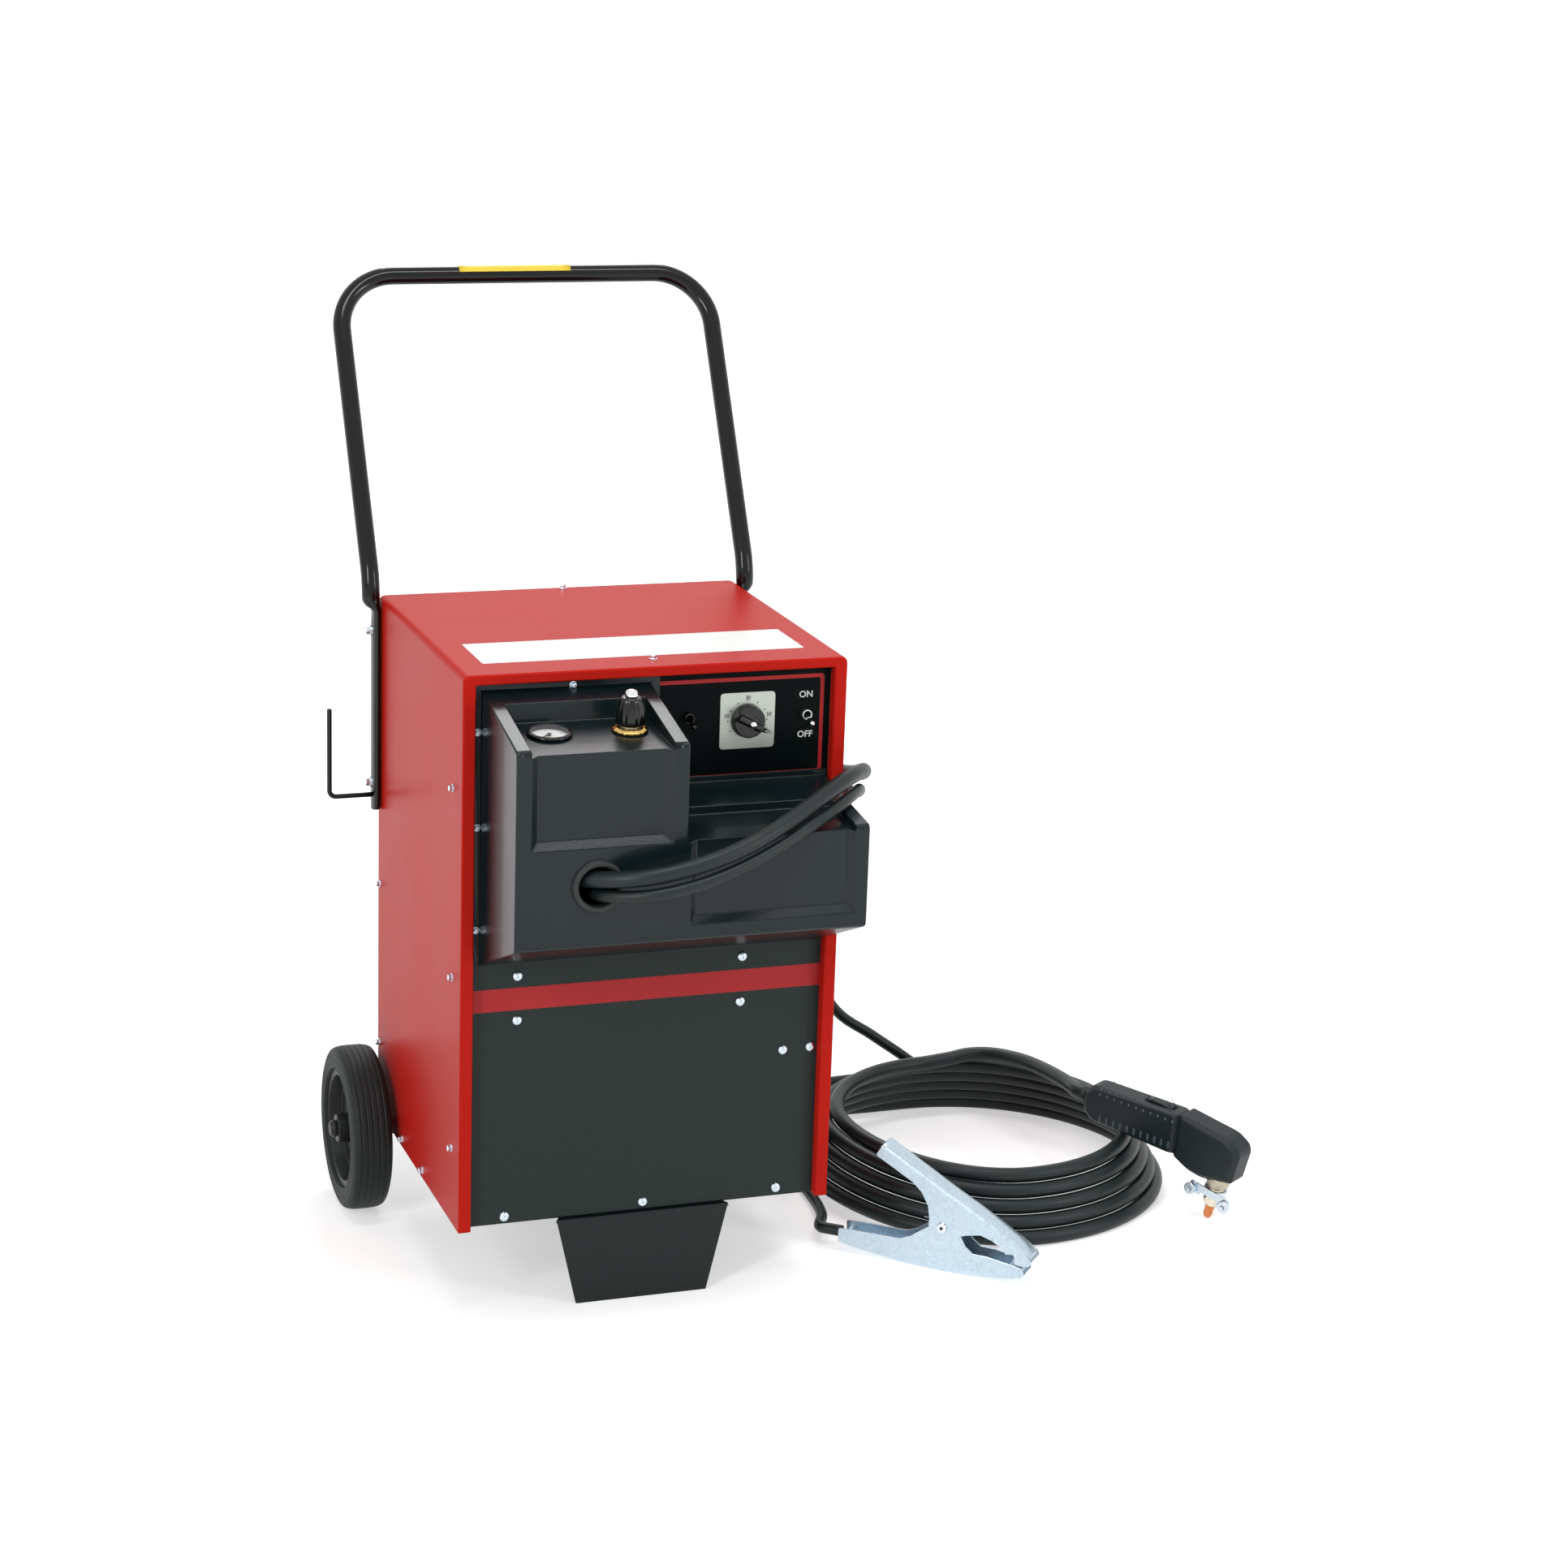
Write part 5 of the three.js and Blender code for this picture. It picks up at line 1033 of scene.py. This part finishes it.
def handle_side():
    """Half of the handle's centre line and its half sizes across x and y, from the flat foot up
    the leg and round the corner to the middle of the bar."""
    flat_z = [-0.264, -0.2625, -0.2585, -0.250, -0.030, -0.016, -0.011, -0.006, -0.002]
    swell = np.array([0, 0, 0, 0, 0, 0, 0.28, 0.75, 1.0])
    points = np.stack(
        [
            leg_x + swell * 0.00575,
            np.full(9, leg_y),
            cabinet_top + np.array(flat_z),
        ],
        1,
    )
    half_x = 0.00525 + swell * 0.00575
    half_y = np.array([0.0075, 0.0108, 0.0132, 0.014, 0.014, 0.014, 0.0132, 0.0118, 0.011])
    angle = lean * (np.arange(10) + 0.5) / 10
    steps = np.stack([np.zeros(10), np.sin(angle), np.cos(angle)], 1) * 0.004
    knee = points[-1] + np.cumsum(steps, 0)
    direction = np.array((0, math.sin(lean), math.cos(lean)))
    rise = (cabinet_top + bar_height - knee[-1, 2]) / direction[2]
    corner = knee[-1] + direction * rise
    straight_leg = knee[-1] + direction * np.linspace(0.1, 0.9, 6)[:, None] * (rise - bend)
    around = np.linspace(0, np.pi / 2, 17)[:, None]
    inward = np.array((-1.0, 0, 0))
    curve = (
        corner
        - direction * bend * (1 - np.sin(around))
        + inward * bend * (1 - np.cos(around))
    )
    line = np.vstack([points, knee, straight_leg, curve, corner * (0, 1, 1)])
    rest = len(line) - 9
    half_x = np.concatenate([half_x, np.full(rest, tube_radius)])
    half_y = np.concatenate([half_y, np.full(rest, tube_radius)])
    return line, half_x, half_y


half_line, half_x, half_y = handle_side()
line = np.vstack([half_line * (-1, 1, 1), half_line[-2::-1]])
size_x = np.concatenate([half_x, half_x[-2::-1]])
size_y = np.concatenate([half_y, half_y[-2::-1]])
along = np.gradient(line, axis=0)
along /= np.linalg.norm(along, axis=1)[:, None]
# Across the tube: x on the legs, turning to point down and back round each corner.
lean_out = np.array((0, math.cos(lean), -math.sin(lean)))
plane_normal = np.where(
    (line[:, 2] < cabinet_top)[:, None], np.array((0, 1.0, 0)), lean_out[None]
)
plane_normal = plane_normal - along * np.sum(plane_normal * along, 1)[:, None]
plane_normal /= np.linalg.norm(plane_normal, axis=1)[:, None]
in_plane = np.cross(along, plane_normal)
angle = np.linspace(0, 2 * np.pi, 28, endpoint=False)
tube = (
    line[:, None]
    + in_plane[:, None] * (np.cos(angle) * size_x[:, None])[..., None]
    + plane_normal[:, None] * (np.sin(angle) * size_y[:, None])[..., None]
)
faces = grid_faces(len(line), 28).tolist()
faces.append(list(range(28))[::-1])
faces.append(list(range((len(line) - 1) * 28, len(line) * 28)))
facing_out(build("push_handle", tube, faces, gloss_paint, "machine", replaces=("handle",)))

yellow_paper = surface(
    "yellow_paper", tone(244, 214, 62), 0.5, variation=0.1, cloud=30, depth=0.00002, speckle=0.1
)
bar_y, bar_z = half_line[-1][1], half_line[-1][2]
wrap_angle = np.radians(np.linspace(-30, 152, 20))
spans = np.linspace(-0.084, 0.058, 12)
shell = []
for radius in (tube_radius + 0.0004, tube_radius + 0.0001):
    ring = np.stack([np.zeros(20), radius * np.cos(wrap_angle), radius * np.sin(wrap_angle)], 1)
    shell.append(ring)
profile = np.vstack([shell[0], shell[1][::-1]])
points = profile[None] + np.stack([spans, np.full(12, bar_y), np.full(12, bar_z)], 1)[:, None]
faces = grid_faces(12, 40).tolist()
faces += [list(range(40))[::-1], list(range(11 * 40, 12 * 40))]
facing_out(build("bar_label", points, faces, yellow_paper, "machine"))

# ------------------------------------------------------------------ hooks and handle bolts
# Each leg carries a hook of 6 mm rod with a square turn and a cut end, and two bolts with
# hexagon heads and washers.
black_paint = surface(
    "black_paint",
    tone(16, 27, 27),
    0.36,
    mirror=0.3,
    variation=0.12,
    cloud=16,
    grain=380,
    depth=0.00005,
    speckle=0.2,
    spread=0.12,
)
for side, word in ((-1, "left"), (1, "right")):
    low = np.array((side * 0.23085, leg_y, 0.521))
    bend_x = side * 0.287
    around = np.linspace(0, np.pi / 2, 9)
    curve = np.stack(
        [
            bend_x - side * 0.008 * (1 - np.sin(around)),
            np.full(9, leg_y),
            0.521 + 0.008 * (1 - np.cos(around)),
        ],
        1,
    )
    line = np.vstack([low, low + (side * 0.02, 0, 0), curve, (bend_x, leg_y, 0.58),
                      (bend_x, leg_y, 0.6302), (bend_x, leg_y, 0.631)])
    radii = np.full(len(line), 0.003)
    radii[-1] = 0.0024
    points, faces = round_tube(line, radii, 18)
    facing_out(build("rod_hook_" + word, points, faces, black_paint, "machine",
                     replaces=("hook_" + word,)))

zinc = surface(
    "zinc",
    tone(206, 218, 228),
    0.27,
    metallic=1,
    variation=0.3,
    cloud=90,
    grain=300,
    depth=0.00003,
    speckle=0.35,
    spread=0.25,
)


def hex_screw(place, axis, size):
    """A hexagon head on its flange: flange rim, head's flats, a turned-down top."""
    profile = np.array(
        [(0, -0.2), (1.0, -0.2), (0.96, 0.28), (0.66, 0.3), (0.66, 0.95), (0.62, 1.05), (0.5, 1.1),
         (0, 1.12)]
    )

    def flats(angle, index):
        turn_part = np.mod(angle, np.pi / 3) - np.pi / 6
        return np.where((index >= 2) & (index <= 4), 1 / np.cos(turn_part) * 0.95, 1.0)

    return turned_up(profile * size, place, axis, 24, flats)


def dome_screw(place, axis, size):
    """A pan head: a low dome with a small recess in its middle."""
    rim = np.radians(np.linspace(0, 78, 7))
    dome = np.stack([np.cos(rim), 0.05 + 0.62 * np.sin(rim)], 1)
    profile = np.vstack([[(0, -0.15), (1.0, -0.15)], dome, [(0.16, 0.45), (0, 0.38)]])
    return turned_up(profile * size, place, axis, 20)


bolts = [
    hex_screw((side * (0.2250 + 0.0003 + 0.0105), leg_y, z), (side, 0, 0), 0.0068)
    for side in (-1, 1)
    for z in (0.726, 0.537)
]
points, faces = gathered(bolts)
facing_out(build("handle_bolts", points, faces, zinc, "machine", False))

# ------------------------------------------------------------------ screws
# Zinc plated self-tapping screws hold the wrap to the tray and panels, and larger pan heads
# hold the inner parts to the front panel.
side_spots = [(0.025, 0.629), (0.022, 0.407), (0.019, 0.201), (0.380, 0.408), (0.380, 0.202),
              (0.260, 0.119), (0.157, 0.119)]
screws = [
    hex_screw((side * 0.2250, y, z), (side, 0, 0), 0.0050)
    for side in (-1, 1)
    for y, z in side_spots
]
screws += [hex_screw((x, y, 0.7670), (0, 0, 1), 0.0050)
           for x, y in ((0.002, 0.384), (0.003, 0.018))]
screws += [hex_screw((x, -0.0045, z), (0, -1, 0), 0.0045)
           for x, z in ((-0.097, 0.7485), (-0.2055, 0.700), (-0.2055, 0.590), (-0.2055, 0.470))]
points, faces = gathered(screws)
facing_out(build("cabinet_screws", points, faces, zinc, "machine", False))
panel_spots = [(0.114, 0.412), (-0.155, 0.410), (0.113, 0.357), (-0.155, 0.357), (0.168, 0.292),
               (0.202, 0.293), (-0.167, 0.118), (0.0, 0.118), (0.165, 0.119)]
domes = [dome_screw((x, 0, z), (0, -1, 0), 0.0062) for x, z in panel_spots]
points, faces = gathered(domes)
facing_out(build("panel_screws", points, faces, zinc, "machine"))

# ------------------------------------------------------------------ foot
# A steel plate bent to a top flange, a tapering front face and a sole, painted black. It is
# screwed up under the tray, and the machine rests on it and on its two wheels.
eased("front_foot", "foot", black_paint, "machine", 0.0010, 35)

# ------------------------------------------------------------------ wheels and axle
# Moulded wheels with a ribbed semi-solid rubber tyre, which turn on a round steel axle and
# are held by pressed caps.
tyre_rubber = surface(
    "tyre_rubber",
    tone(22, 30, 29),
    0.6,
    mirror=0.3,
    variation=0.2,
    cloud=30,
    grain=500,
    depth=0.0001,
    speckle=0.4,
    spread=0.15,
)
hub_plastic = surface(
    "hub_plastic", tone(16, 20, 21), 0.4, mirror=0.35, variation=0.12, cloud=30, depth=0.00006
)
axle_y, axle_z, tyre_outer, tyre_inner, tyre_half = 0.358, 0.1015, 0.1015, 0.0740, 0.0245


def tyre_section():
    """Outline of the tyre's section, (radius, place along the axle): a nearly flat tread with
    five grooves, rounded shoulders, and side walls with three raised rings."""
    across = np.linspace(-1, 1, 61)
    groove = np.clip(np.cos(across * np.pi * 5) - 0.55, 0, 1) / 0.45
    crown = tyre_outer - 0.0016 * across**4 - 0.0011 * groove * (np.abs(across) < 0.97)
    tread = np.stack([crown, across * 0.0185], 1)
    down = np.linspace(0, 1, 24)
    ring = np.clip(np.cos(down * np.pi * 6), 0, 1)
    shoulder = np.sqrt(np.clip(down * 3, 0, 1) * (2 - np.clip(down * 3, 0, 1)))
    wall_radius = tyre_outer - 0.0016 - 0.0002 - down * (tyre_outer - tyre_inner - 0.0025)
    wall_place = 0.0188 + 0.0050 * shoulder + 0.0007 * ring * (down > 0.25)
    wall = np.stack([wall_radius, np.minimum(wall_place, tyre_half)], 1)
    bead = np.array([(tyre_inner + 0.0002, 0.0190), (tyre_inner, 0.0150), (tyre_inner, 0.0)])
    right_side = np.vstack([wall, bead])
    left_side = right_side[::-1] * (1, -1)
    return np.vstack([tread, right_side[:-1], left_side])


for side, word in ((-1, "left"), (1, "right")):
    place = (side * 0.2595, axle_y, axle_z)
    points, faces = turned_up(tyre_section(), place, (1, 0, 0), 96)
    facing_out(build("tyre_ribbed_" + word, points, faces, tyre_rubber, "wheel_" + word,
                     replaces=("tyre_" + word,)))
    eased("wheel_hub_" + word, "hub_" + word, hub_plastic, "wheel_" + word,
          0.0012, 30)
    eased("hub_cap_" + word, "axle_cap_" + word, hub_plastic, body_of["axle_cap_" + word],
          0.0008, 30)
    eased("axle_saddle_" + word, "axle_clamp_" + word, black_paint, "machine",
          0.0006, 35)

# ------------------------------------------------------------------ torch
# A moulded handle in two halves of matt black plastic with rows of grip ribs, a bent head, a
# knurled steel collar, a slotted shield cup, a copper tip and a wheeled stand-off guide.
torch_plastic = surface(
    "torch_plastic",
    tone(20, 32, 35),
    0.46,
    mirror=0.35,
    variation=0.14,
    cloud=40,
    grain=900,
    depth=0.0001,
    speckle=0.4,
    spread=0.12,
)
eased("torch_grip", "torch_handle", torch_plastic, "machine", 0.0012, 30, 3)
eased("torch_lever", "torch_trigger", torch_plastic, "trigger",
      0.0006, 30)
torch_tip = np.array((0.7598, 0.0362, 0))
drop = torch_tip - torch_step
torch_up = -(drop - torch_axis * (drop @ torch_axis))
torch_up /= np.linalg.norm(torch_up)
torch_side = np.cross(torch_up, torch_axis)


def in_torch(places):
    """Places along, across and above the handle's middle, as places of the machine."""
    places = np.asarray(places, float)
    return (
        torch_rear
        + places[..., :1] * torch_axis
        + places[..., 1:2] * torch_side
        + places[..., 2:] * torch_up
    )


def bead(centre, long_way, wide_way, high_way):
    """A pillow: half axes given as three vectors, with a squarer section than an ellipsoid."""
    down = np.linspace(0, np.pi, 9)[1:-1, None]
    around = np.linspace(0, 2 * np.pi, 12, endpoint=False)[None]
    unit = np.stack(
        [np.sin(down) * np.cos(around), np.sin(down) * np.sin(around), np.cos(down) + 0 * around],
        -1,
    )
    unit = np.sign(unit) * np.abs(unit) ** 0.7
    points = (
        centre + unit[..., :1] * long_way + unit[..., 1:2] * wide_way + unit[..., 2:] * high_way
    ).reshape(-1, 3)
    faces = grid_faces(7, 12).tolist()
    points = np.vstack([points, centre + high_way, centre - high_way])
    ring = np.arange(12)
    faces += np.stack([ring, (ring + 1) % 12, np.full(12, 84)], 1).tolist()
    faces += np.stack([ring + 72, (ring + 1) % 12 + 72, np.full(12, 85)], 1).tolist()
    return points, faces


ribs = []
for side in (-1, 1):
    for x in np.linspace(0.026, 0.134, 11):
        ribs.append(
            bead(
                in_torch((x, side * 0.0162, 0.0192)),
                torch_axis * 0.0017,
                torch_side * side * 0.0016 - torch_up * 0.0006,
                torch_up * 0.0046 + torch_side * -side * 0.0026,
            )
        )
    for x in np.linspace(0.030, 0.132, 11):
        ribs.append(
            bead(
                in_torch((x, side * 0.0178, -0.0170)),
                torch_axis * 0.0019,
                torch_side * side * 0.0013,
                torch_up * 0.0052,
            )
        )
# The ribs are the handle's black plastic made much lighter: a painted sheen on their rounded tops.
rib_plastic_painted_sheen = surface(
    "rib_plastic_painted_sheen",
    tone(66, 84, 92),
    0.4,
    mirror=0.4,
    variation=0.15,
    cloud=60,
    grain=900,
    depth=0.00004,
)
points, faces = gathered(ribs)
facing_out(build("torch_ribs", points, faces, rib_plastic_painted_sheen, "machine"))

nozzle_turn = math.radians(-100)
nozzle_down = torch_axis * math.cos(nozzle_turn) + torch_up * math.sin(nozzle_turn)
head_at = in_torch((0.2047, 0, -0.0204))
worn_steel = surface(
    "worn_steel",
    tone(196, 186, 166),
    0.34,
    metallic=0.9,
    variation=0.35,
    cloud=120,
    grain=700,
    depth=0.00008,
    speckle=0.5,
    spread=0.3,
)


def knurl(angle, index):
    """Forty fine ridges on the collar's middle rings."""
    return np.where((index >= 2) & (index <= 5), 1 + 0.018 * np.cos(40 * angle), 1.0)


points, faces = turned_up(
    [(0, 0.0083), (0.0140, 0.0083), (0.0146, 0.0120), (0.0148, 0.0180), (0.0148, 0.0255),
     (0.0146, 0.0290), (0.0138, 0.0300), (0.0136, 0.0330), (0.0130, 0.0350), (0, 0.0350)],
    head_at, nozzle_down, 160, knurl,
)
facing_out(build("knurled_collar", points, faces, worn_steel, "machine",
                 replaces=("torch_collar",)))
cup_steel = surface(
    "cup_steel",
    tone(226, 220, 200),
    0.16,
    metallic=1,
    variation=0.35,
    cloud=160,
    depth=0.00002,
    spread=0.2,
)


def slots_in_cup(angle, index):
    """Six slots down the cup's wall: the radius drops over a fifth of each sixth."""
    slot_here = np.clip((np.cos(6 * angle) - 0.62) * 8, 0, 1)
    return np.where((index >= 2) & (index <= 5), 1 - 0.13 * slot_here, 1.0)


points, faces = turned_up(
    [(0, 0.0354), (0.0116, 0.0354), (0.0120, 0.0375), (0.0124, 0.0400), (0.0124, 0.0540),
     (0.0112, 0.0600), (0.0100, 0.0618), (0.0068, 0.0618), (0.0066, 0.0562), (0, 0.0561)],
    head_at, nozzle_down, 120, slots_in_cup,
)
facing_out(build("slotted_cup", points, faces, cup_steel, "machine", replaces=("shield_cup",)))
copper = surface(
    "copper",
    tone(204, 128, 78),
    0.24,
    metallic=1,
    variation=0.35,
    cloud=140,
    depth=0.00003,
    spread=0.25,
)
points, faces = turned_up(
    [(0, 0.0564), (0.0060, 0.0564), (0.0062, 0.0590), (0.0062, 0.0690), (0.0056, 0.0705),
     (0.0056, 0.0725), (0.0060, 0.0740), (0.0054, 0.0790), (0.0042, 0.0811), (0.0012, 0.0811),
     (0.0010, 0.0800), (0, 0.0799)],
    head_at, nozzle_down, 40,
)
facing_out(build("copper_nozzle", points, faces, copper, "machine", replaces=("torch_tip",)))
eased("guide_frame", "guide_bracket", zinc, "machine", 0.0004, 35)
for word in ("left", "right"):
    node = "guide_roller_" + word
    eased("roller_" + word, node, zinc, body_of[node], 0.0008, 30)

# ------------------------------------------------------------------ work clamp
# Two channels pressed from 1.8 mm steel, zinc plated to a bluish white, which pivot on a rivet
# under a coil spring. Their webs stand a little proud along the outer edges.
clamp_up = np.array((0, 0, 1.0))
clamp_side = np.cross(clamp_up, clamp_heading)
pin_place = clamp_rear + clamp_heading * 0.134 + clamp_up * 0.057
jaw_body = "clamp_jaw"


plated = surface(  # small crystals that differ in tone and gloss
    "clamp_zinc",
    tone(196, 214, 226),
    0.3,
    metallic=0.85,
    variation=0.25,
    cloud=140,
    grain=500,
    depth=0.00004,
    speckle=0.5,
    spread=0.3,
)
eased("clamp_under_half", "clamp_lower", plated, "machine", 0.0006, 35)
eased("clamp_over_half", "clamp_upper", plated, jaw_body, 0.0006, 35)


def in_clamp(places):
    """Places along, across and above the clamp's rear end, as places of the machine."""
    places = np.asarray(places, float)
    return (
        clamp_rear
        + places[..., :1] * clamp_heading
        + places[..., 1:2] * clamp_side
        + places[..., 2:] * clamp_up
    )


def channel_back(edge, half, bulge, thickness, upwards):
    """The channel's rounded back: across it the sheet bows out by bulge x (1 - (y / half)^2)
    times a swell that is greatest in the middle of its length; it lies on the edge's line."""
    edge = flowing_line(np.column_stack([edge[:, 0], 0 * edge[:, 0], edge[:, 1]]), 6)
    along = np.gradient(edge, axis=0)
    along /= np.linalg.norm(along, axis=1)[:, None]
    out = np.stack([-along[:, 2], 0 * along[:, 0], along[:, 0]], 1) * (1 if upwards else -1)
    run = np.linspace(0, 1, len(edge))
    swell = np.sin(np.pi * np.clip(run, 0.02, 0.98)) ** 0.6
    across = np.linspace(-1, 1, 13)
    rise = bulge * swell[:, None] * (1 - across[None] ** 2)
    wide = half * (0.80 + 0.20 * np.sin(np.pi * np.clip(run, 0, 1)) ** 0.5)
    outer_side = edge[:, None] + out[:, None] * rise[..., None]
    outer_side = outer_side + np.stack(
        [0 * rise, across[None] * wide[:, None], 0 * rise], -1
    )
    inner_side = outer_side - out[:, None] * thickness
    section = np.concatenate([outer_side, inner_side[:, ::-1]], 1)
    faces = grid_faces(len(edge), 26).tolist()
    faces += [list(range(26))[::-1], list(range((len(edge) - 1) * 26, len(edge) * 26))]
    return section, faces


ridge = np.array([(0.052, 0.147), (0.085, 0.129), (0.138, 0.0995), (0.182, 0.0765),
                  (0.227, 0.0503), (0.246, 0.0365)])
points, faces = channel_back(ridge, 0.0166, 0.0045, 0.0012, True)
facing_out(build("clamp_over_back", in_clamp(points), faces, plated, jaw_body))
bow = np.array([(0.001, 0.0118), (0.025, 0.0086), (0.051, 0.0054), (0.090, 0.0026),
                (0.130, 0.0016), (0.165, 0.0022), (0.199, 0.0050), (0.224, 0.0085),
                (0.238, 0.0138)])
points, faces = channel_back(bow, 0.0146, 0.0010, 0.0010, False)
facing_out(build("clamp_under_back", in_clamp(points), faces, plated, "machine"))
bright_rivet = surface(
    "bright_rivet", tone(220, 226, 230), 0.2, metallic=1, variation=0.2, cloud=200
)
eased("clamp_rivet", "clamp_pin", bright_rivet, "machine", 0.0007, 35)
# Dark discs on the rivet's two ends: painted shade in its bore, in the dial's dark ink.
rivet_bore_shades = []
for side in (-1, 1):
    rivet_bore_shades.append(
        turned_up([(0, -0.0005), (0.0021, -0.0005), (0.0021, 0.00025), (0, 0.00025)],
                  pin_place + clamp_side * side * 0.0200, clamp_side * side, 16)
    )
points, faces = gathered(rivet_bore_shades)
facing_out(build("rivet_bore_painted_shade", points, faces, dial_ink, "machine", False))
steel = surface("steel", tone(150, 154, 156), 0.4, metallic=1, variation=0.2)
eased("clamp_coil_spring", "clamp_spring", steel, "machine", 0, 60)

# ------------------------------------------------------------------ inside and at the rear
# Behind the panels: the transformer with its varnished winding, a finned heat sink, a green
# circuit board and a fan; at the rear a louvred panel with the air inlet and a cable gland.
winding = surface(
    "winding",
    tone(150, 92, 50),
    0.4,
    metallic=0.4,
    variation=0.3,
    cloud=60,
    depth=0.0004,
    grain=260,
    stretch=(1, 1, 0.1),
)
board = surface("board", tone(38, 90, 58), 0.45, variation=0.2, cloud=80)
panel_plain = surface(
    "panel_plain", tone(40, 46, 46), 0.5, variation=0.12, grain=700, depth=0.00006, speckle=0.4
)
glass = bpy.data.materials.new("glass")
glass.use_nodes = True
clear = glass.node_tree.nodes["Principled BSDF"]
clear.inputs["Base Color"].default_value = (0.95, 0.97, 0.98, 1)
clear.inputs["Alpha"].default_value = 0.05
haze = glass.node_tree.nodes.new("ShaderNodeTexNoise")
haze.inputs["Scale"].default_value = 220
rough = glass.node_tree.nodes.new("ShaderNodeMapRange")
rough.inputs["To Min"].default_value = 0.01
rough.inputs["To Max"].default_value = 0.06
spot = glass.node_tree.nodes.new("ShaderNodeTexCoord")
glass.node_tree.links.new(spot.outputs["Object"], haze.inputs["Vector"])
glass.node_tree.links.new(haze.outputs["Fac"], rough.inputs["Value"])
glass.node_tree.links.new(rough.outputs["Result"], clear.inputs["Roughness"])
by_slot = {
    "red_paint": red_paint,
    "black_paint": black_paint,
    "panel_black": panel_plain,
    "gloss_black": gloss_paint,
    "moulded_black": moulding,
    "shiny_black": shiny_plastic,
    "rubber": edge_rubber,
    "tyre": tyre_rubber,
    "zinc": zinc,
    "bright_steel": chrome,
    "plain_steel": steel,
    "aluminium": aluminium,
    "brass": brass,
    "copper": copper,
    "lens": glass,
    "board": board,
}
for name, node in nodes.items():
    if node.hide_render:
        continue
    finish = winding if name == "transformer_winding" else by_slot[slots_of[name]]
    node.data.materials.clear()
    node.data.materials.append(finish)
    if finish is not glass:
        soften = node.modifiers.new("merge", "WELD")
        soften.merge_threshold = 0.00001
        soften = node.modifiers.new("edges", "BEVEL")
        soften.width = 0.0005
        soften.segments = 2
        soften.limit_method = "ANGLE"
        soften.angle_limit = math.radians(35)

# ------------------------------------------------------------------ studio
# A white floor that keeps the machine's shadow, white surroundings, and four soft lamps.
floor_mesh = bpy.data.meshes.new("studio_floor")
reach = 30.0
floor_mesh.from_pydata(
    [(-reach, -reach, 0), (reach, -reach, 0), (reach, reach, 0), (-reach, reach, 0)],
    [],
    [(0, 1, 2, 3)],
)
floor = bpy.data.objects.new("studio_floor", floor_mesh)
scene.collection.objects.link(floor)


def seen_straight(tree):
    """1 where a camera, glossy or transmitted ray looks at the surface, 0 for other light."""
    path = tree.nodes.new("ShaderNodeLightPath")
    first = tree.nodes.new("ShaderNodeMath")
    second = tree.nodes.new("ShaderNodeMath")
    for node in (first, second):
        node.operation = "ADD"
        node.use_clamp = True
    tree.links.new(path.outputs["Is Camera Ray"], first.inputs[0])
    tree.links.new(path.outputs["Is Glossy Ray"], first.inputs[1])
    tree.links.new(first.outputs[0], second.inputs[0])
    tree.links.new(path.outputs["Is Transmission Ray"], second.inputs[1])
    return second.outputs[0]


pale = bpy.data.materials.new("pale_floor")
pale.use_nodes = True
tree = pale.node_tree
shader = tree.nodes["Principled BSDF"]
shader.inputs["Base Color"].default_value = (0.9, 0.9, 0.9, 1)
shader.inputs["Roughness"].default_value = 0.9
shader.inputs["Specular IOR Level"].default_value = 0.0
shader.inputs["Emission Color"].default_value = (1, 1, 1, 1)
place = tree.nodes.new("ShaderNodeTexCoord")
distance = tree.nodes.new("ShaderNodeVectorMath")
distance.operation = "LENGTH"
brighter = tree.nodes.new("ShaderNodeMapRange")
brighter.inputs["From Min"].default_value = 1.0
brighter.inputs["From Max"].default_value = 2.6
brighter.inputs["To Min"].default_value = 0.5
brighter.inputs["To Max"].default_value = 1.0
tree.links.new(place.outputs["Object"], distance.inputs[0])
tree.links.new(distance.outputs["Value"], brighter.inputs["Value"])
glow = tree.nodes.new("ShaderNodeMath")
glow.operation = "MULTIPLY"
tree.links.new(brighter.outputs["Result"], glow.inputs[1])
tree.links.new(seen_straight(tree), glow.inputs[0])
tree.links.new(glow.outputs[0], shader.inputs["Emission Strength"])
floor_mesh.materials.append(pale)

world = bpy.data.worlds.new("studio")
scene.world = world
world.use_nodes = True
tree = world.node_tree
background = tree.nodes["Background"]
background.inputs["Color"].default_value = (1, 1, 1, 1)
strength = tree.nodes.new("ShaderNodeMapRange")
strength.inputs["To Min"].default_value = 0.36
strength.inputs["To Max"].default_value = 1.0
tree.links.new(seen_straight(tree), strength.inputs["Value"])
tree.links.new(strength.outputs["Result"], background.inputs["Strength"])


def lamp(name, place, aim, wide, tall, power):
    """A soft box, wide and tall as given, that looks from its place at an aim."""
    light = bpy.data.lights.new(name, "AREA")
    light.shape = "RECTANGLE"
    light.size, light.size_y = wide, tall
    light.energy = power
    obj = bpy.data.objects.new(name, light)
    obj.location = place
    obj.rotation_euler = (Vector(aim) - Vector(place)).to_track_quat("-Z", "Y").to_euler()
    scene.collection.objects.link(obj)
    return obj


lamp("left_box", (-3.0, -2.5, 2.4), (0.1, 0.1, 0.5), 0.5, 1.8, 56)
lamp("right_box", (3.0, -2.8, 2.0), (0.2, 0.1, 0.4), 0.5, 1.8, 32)
lamp("upper_box", (0.1, -0.9, 3.6), (0.1, 0.0, 0.5), 2.2, 0.45, 34)
lamp("rear_box", (0.8, 3.0, 3.0), (0.2, 0.2, 0.5), 1.2, 1.2, 30)
scene.view_settings.view_transform = "Standard"
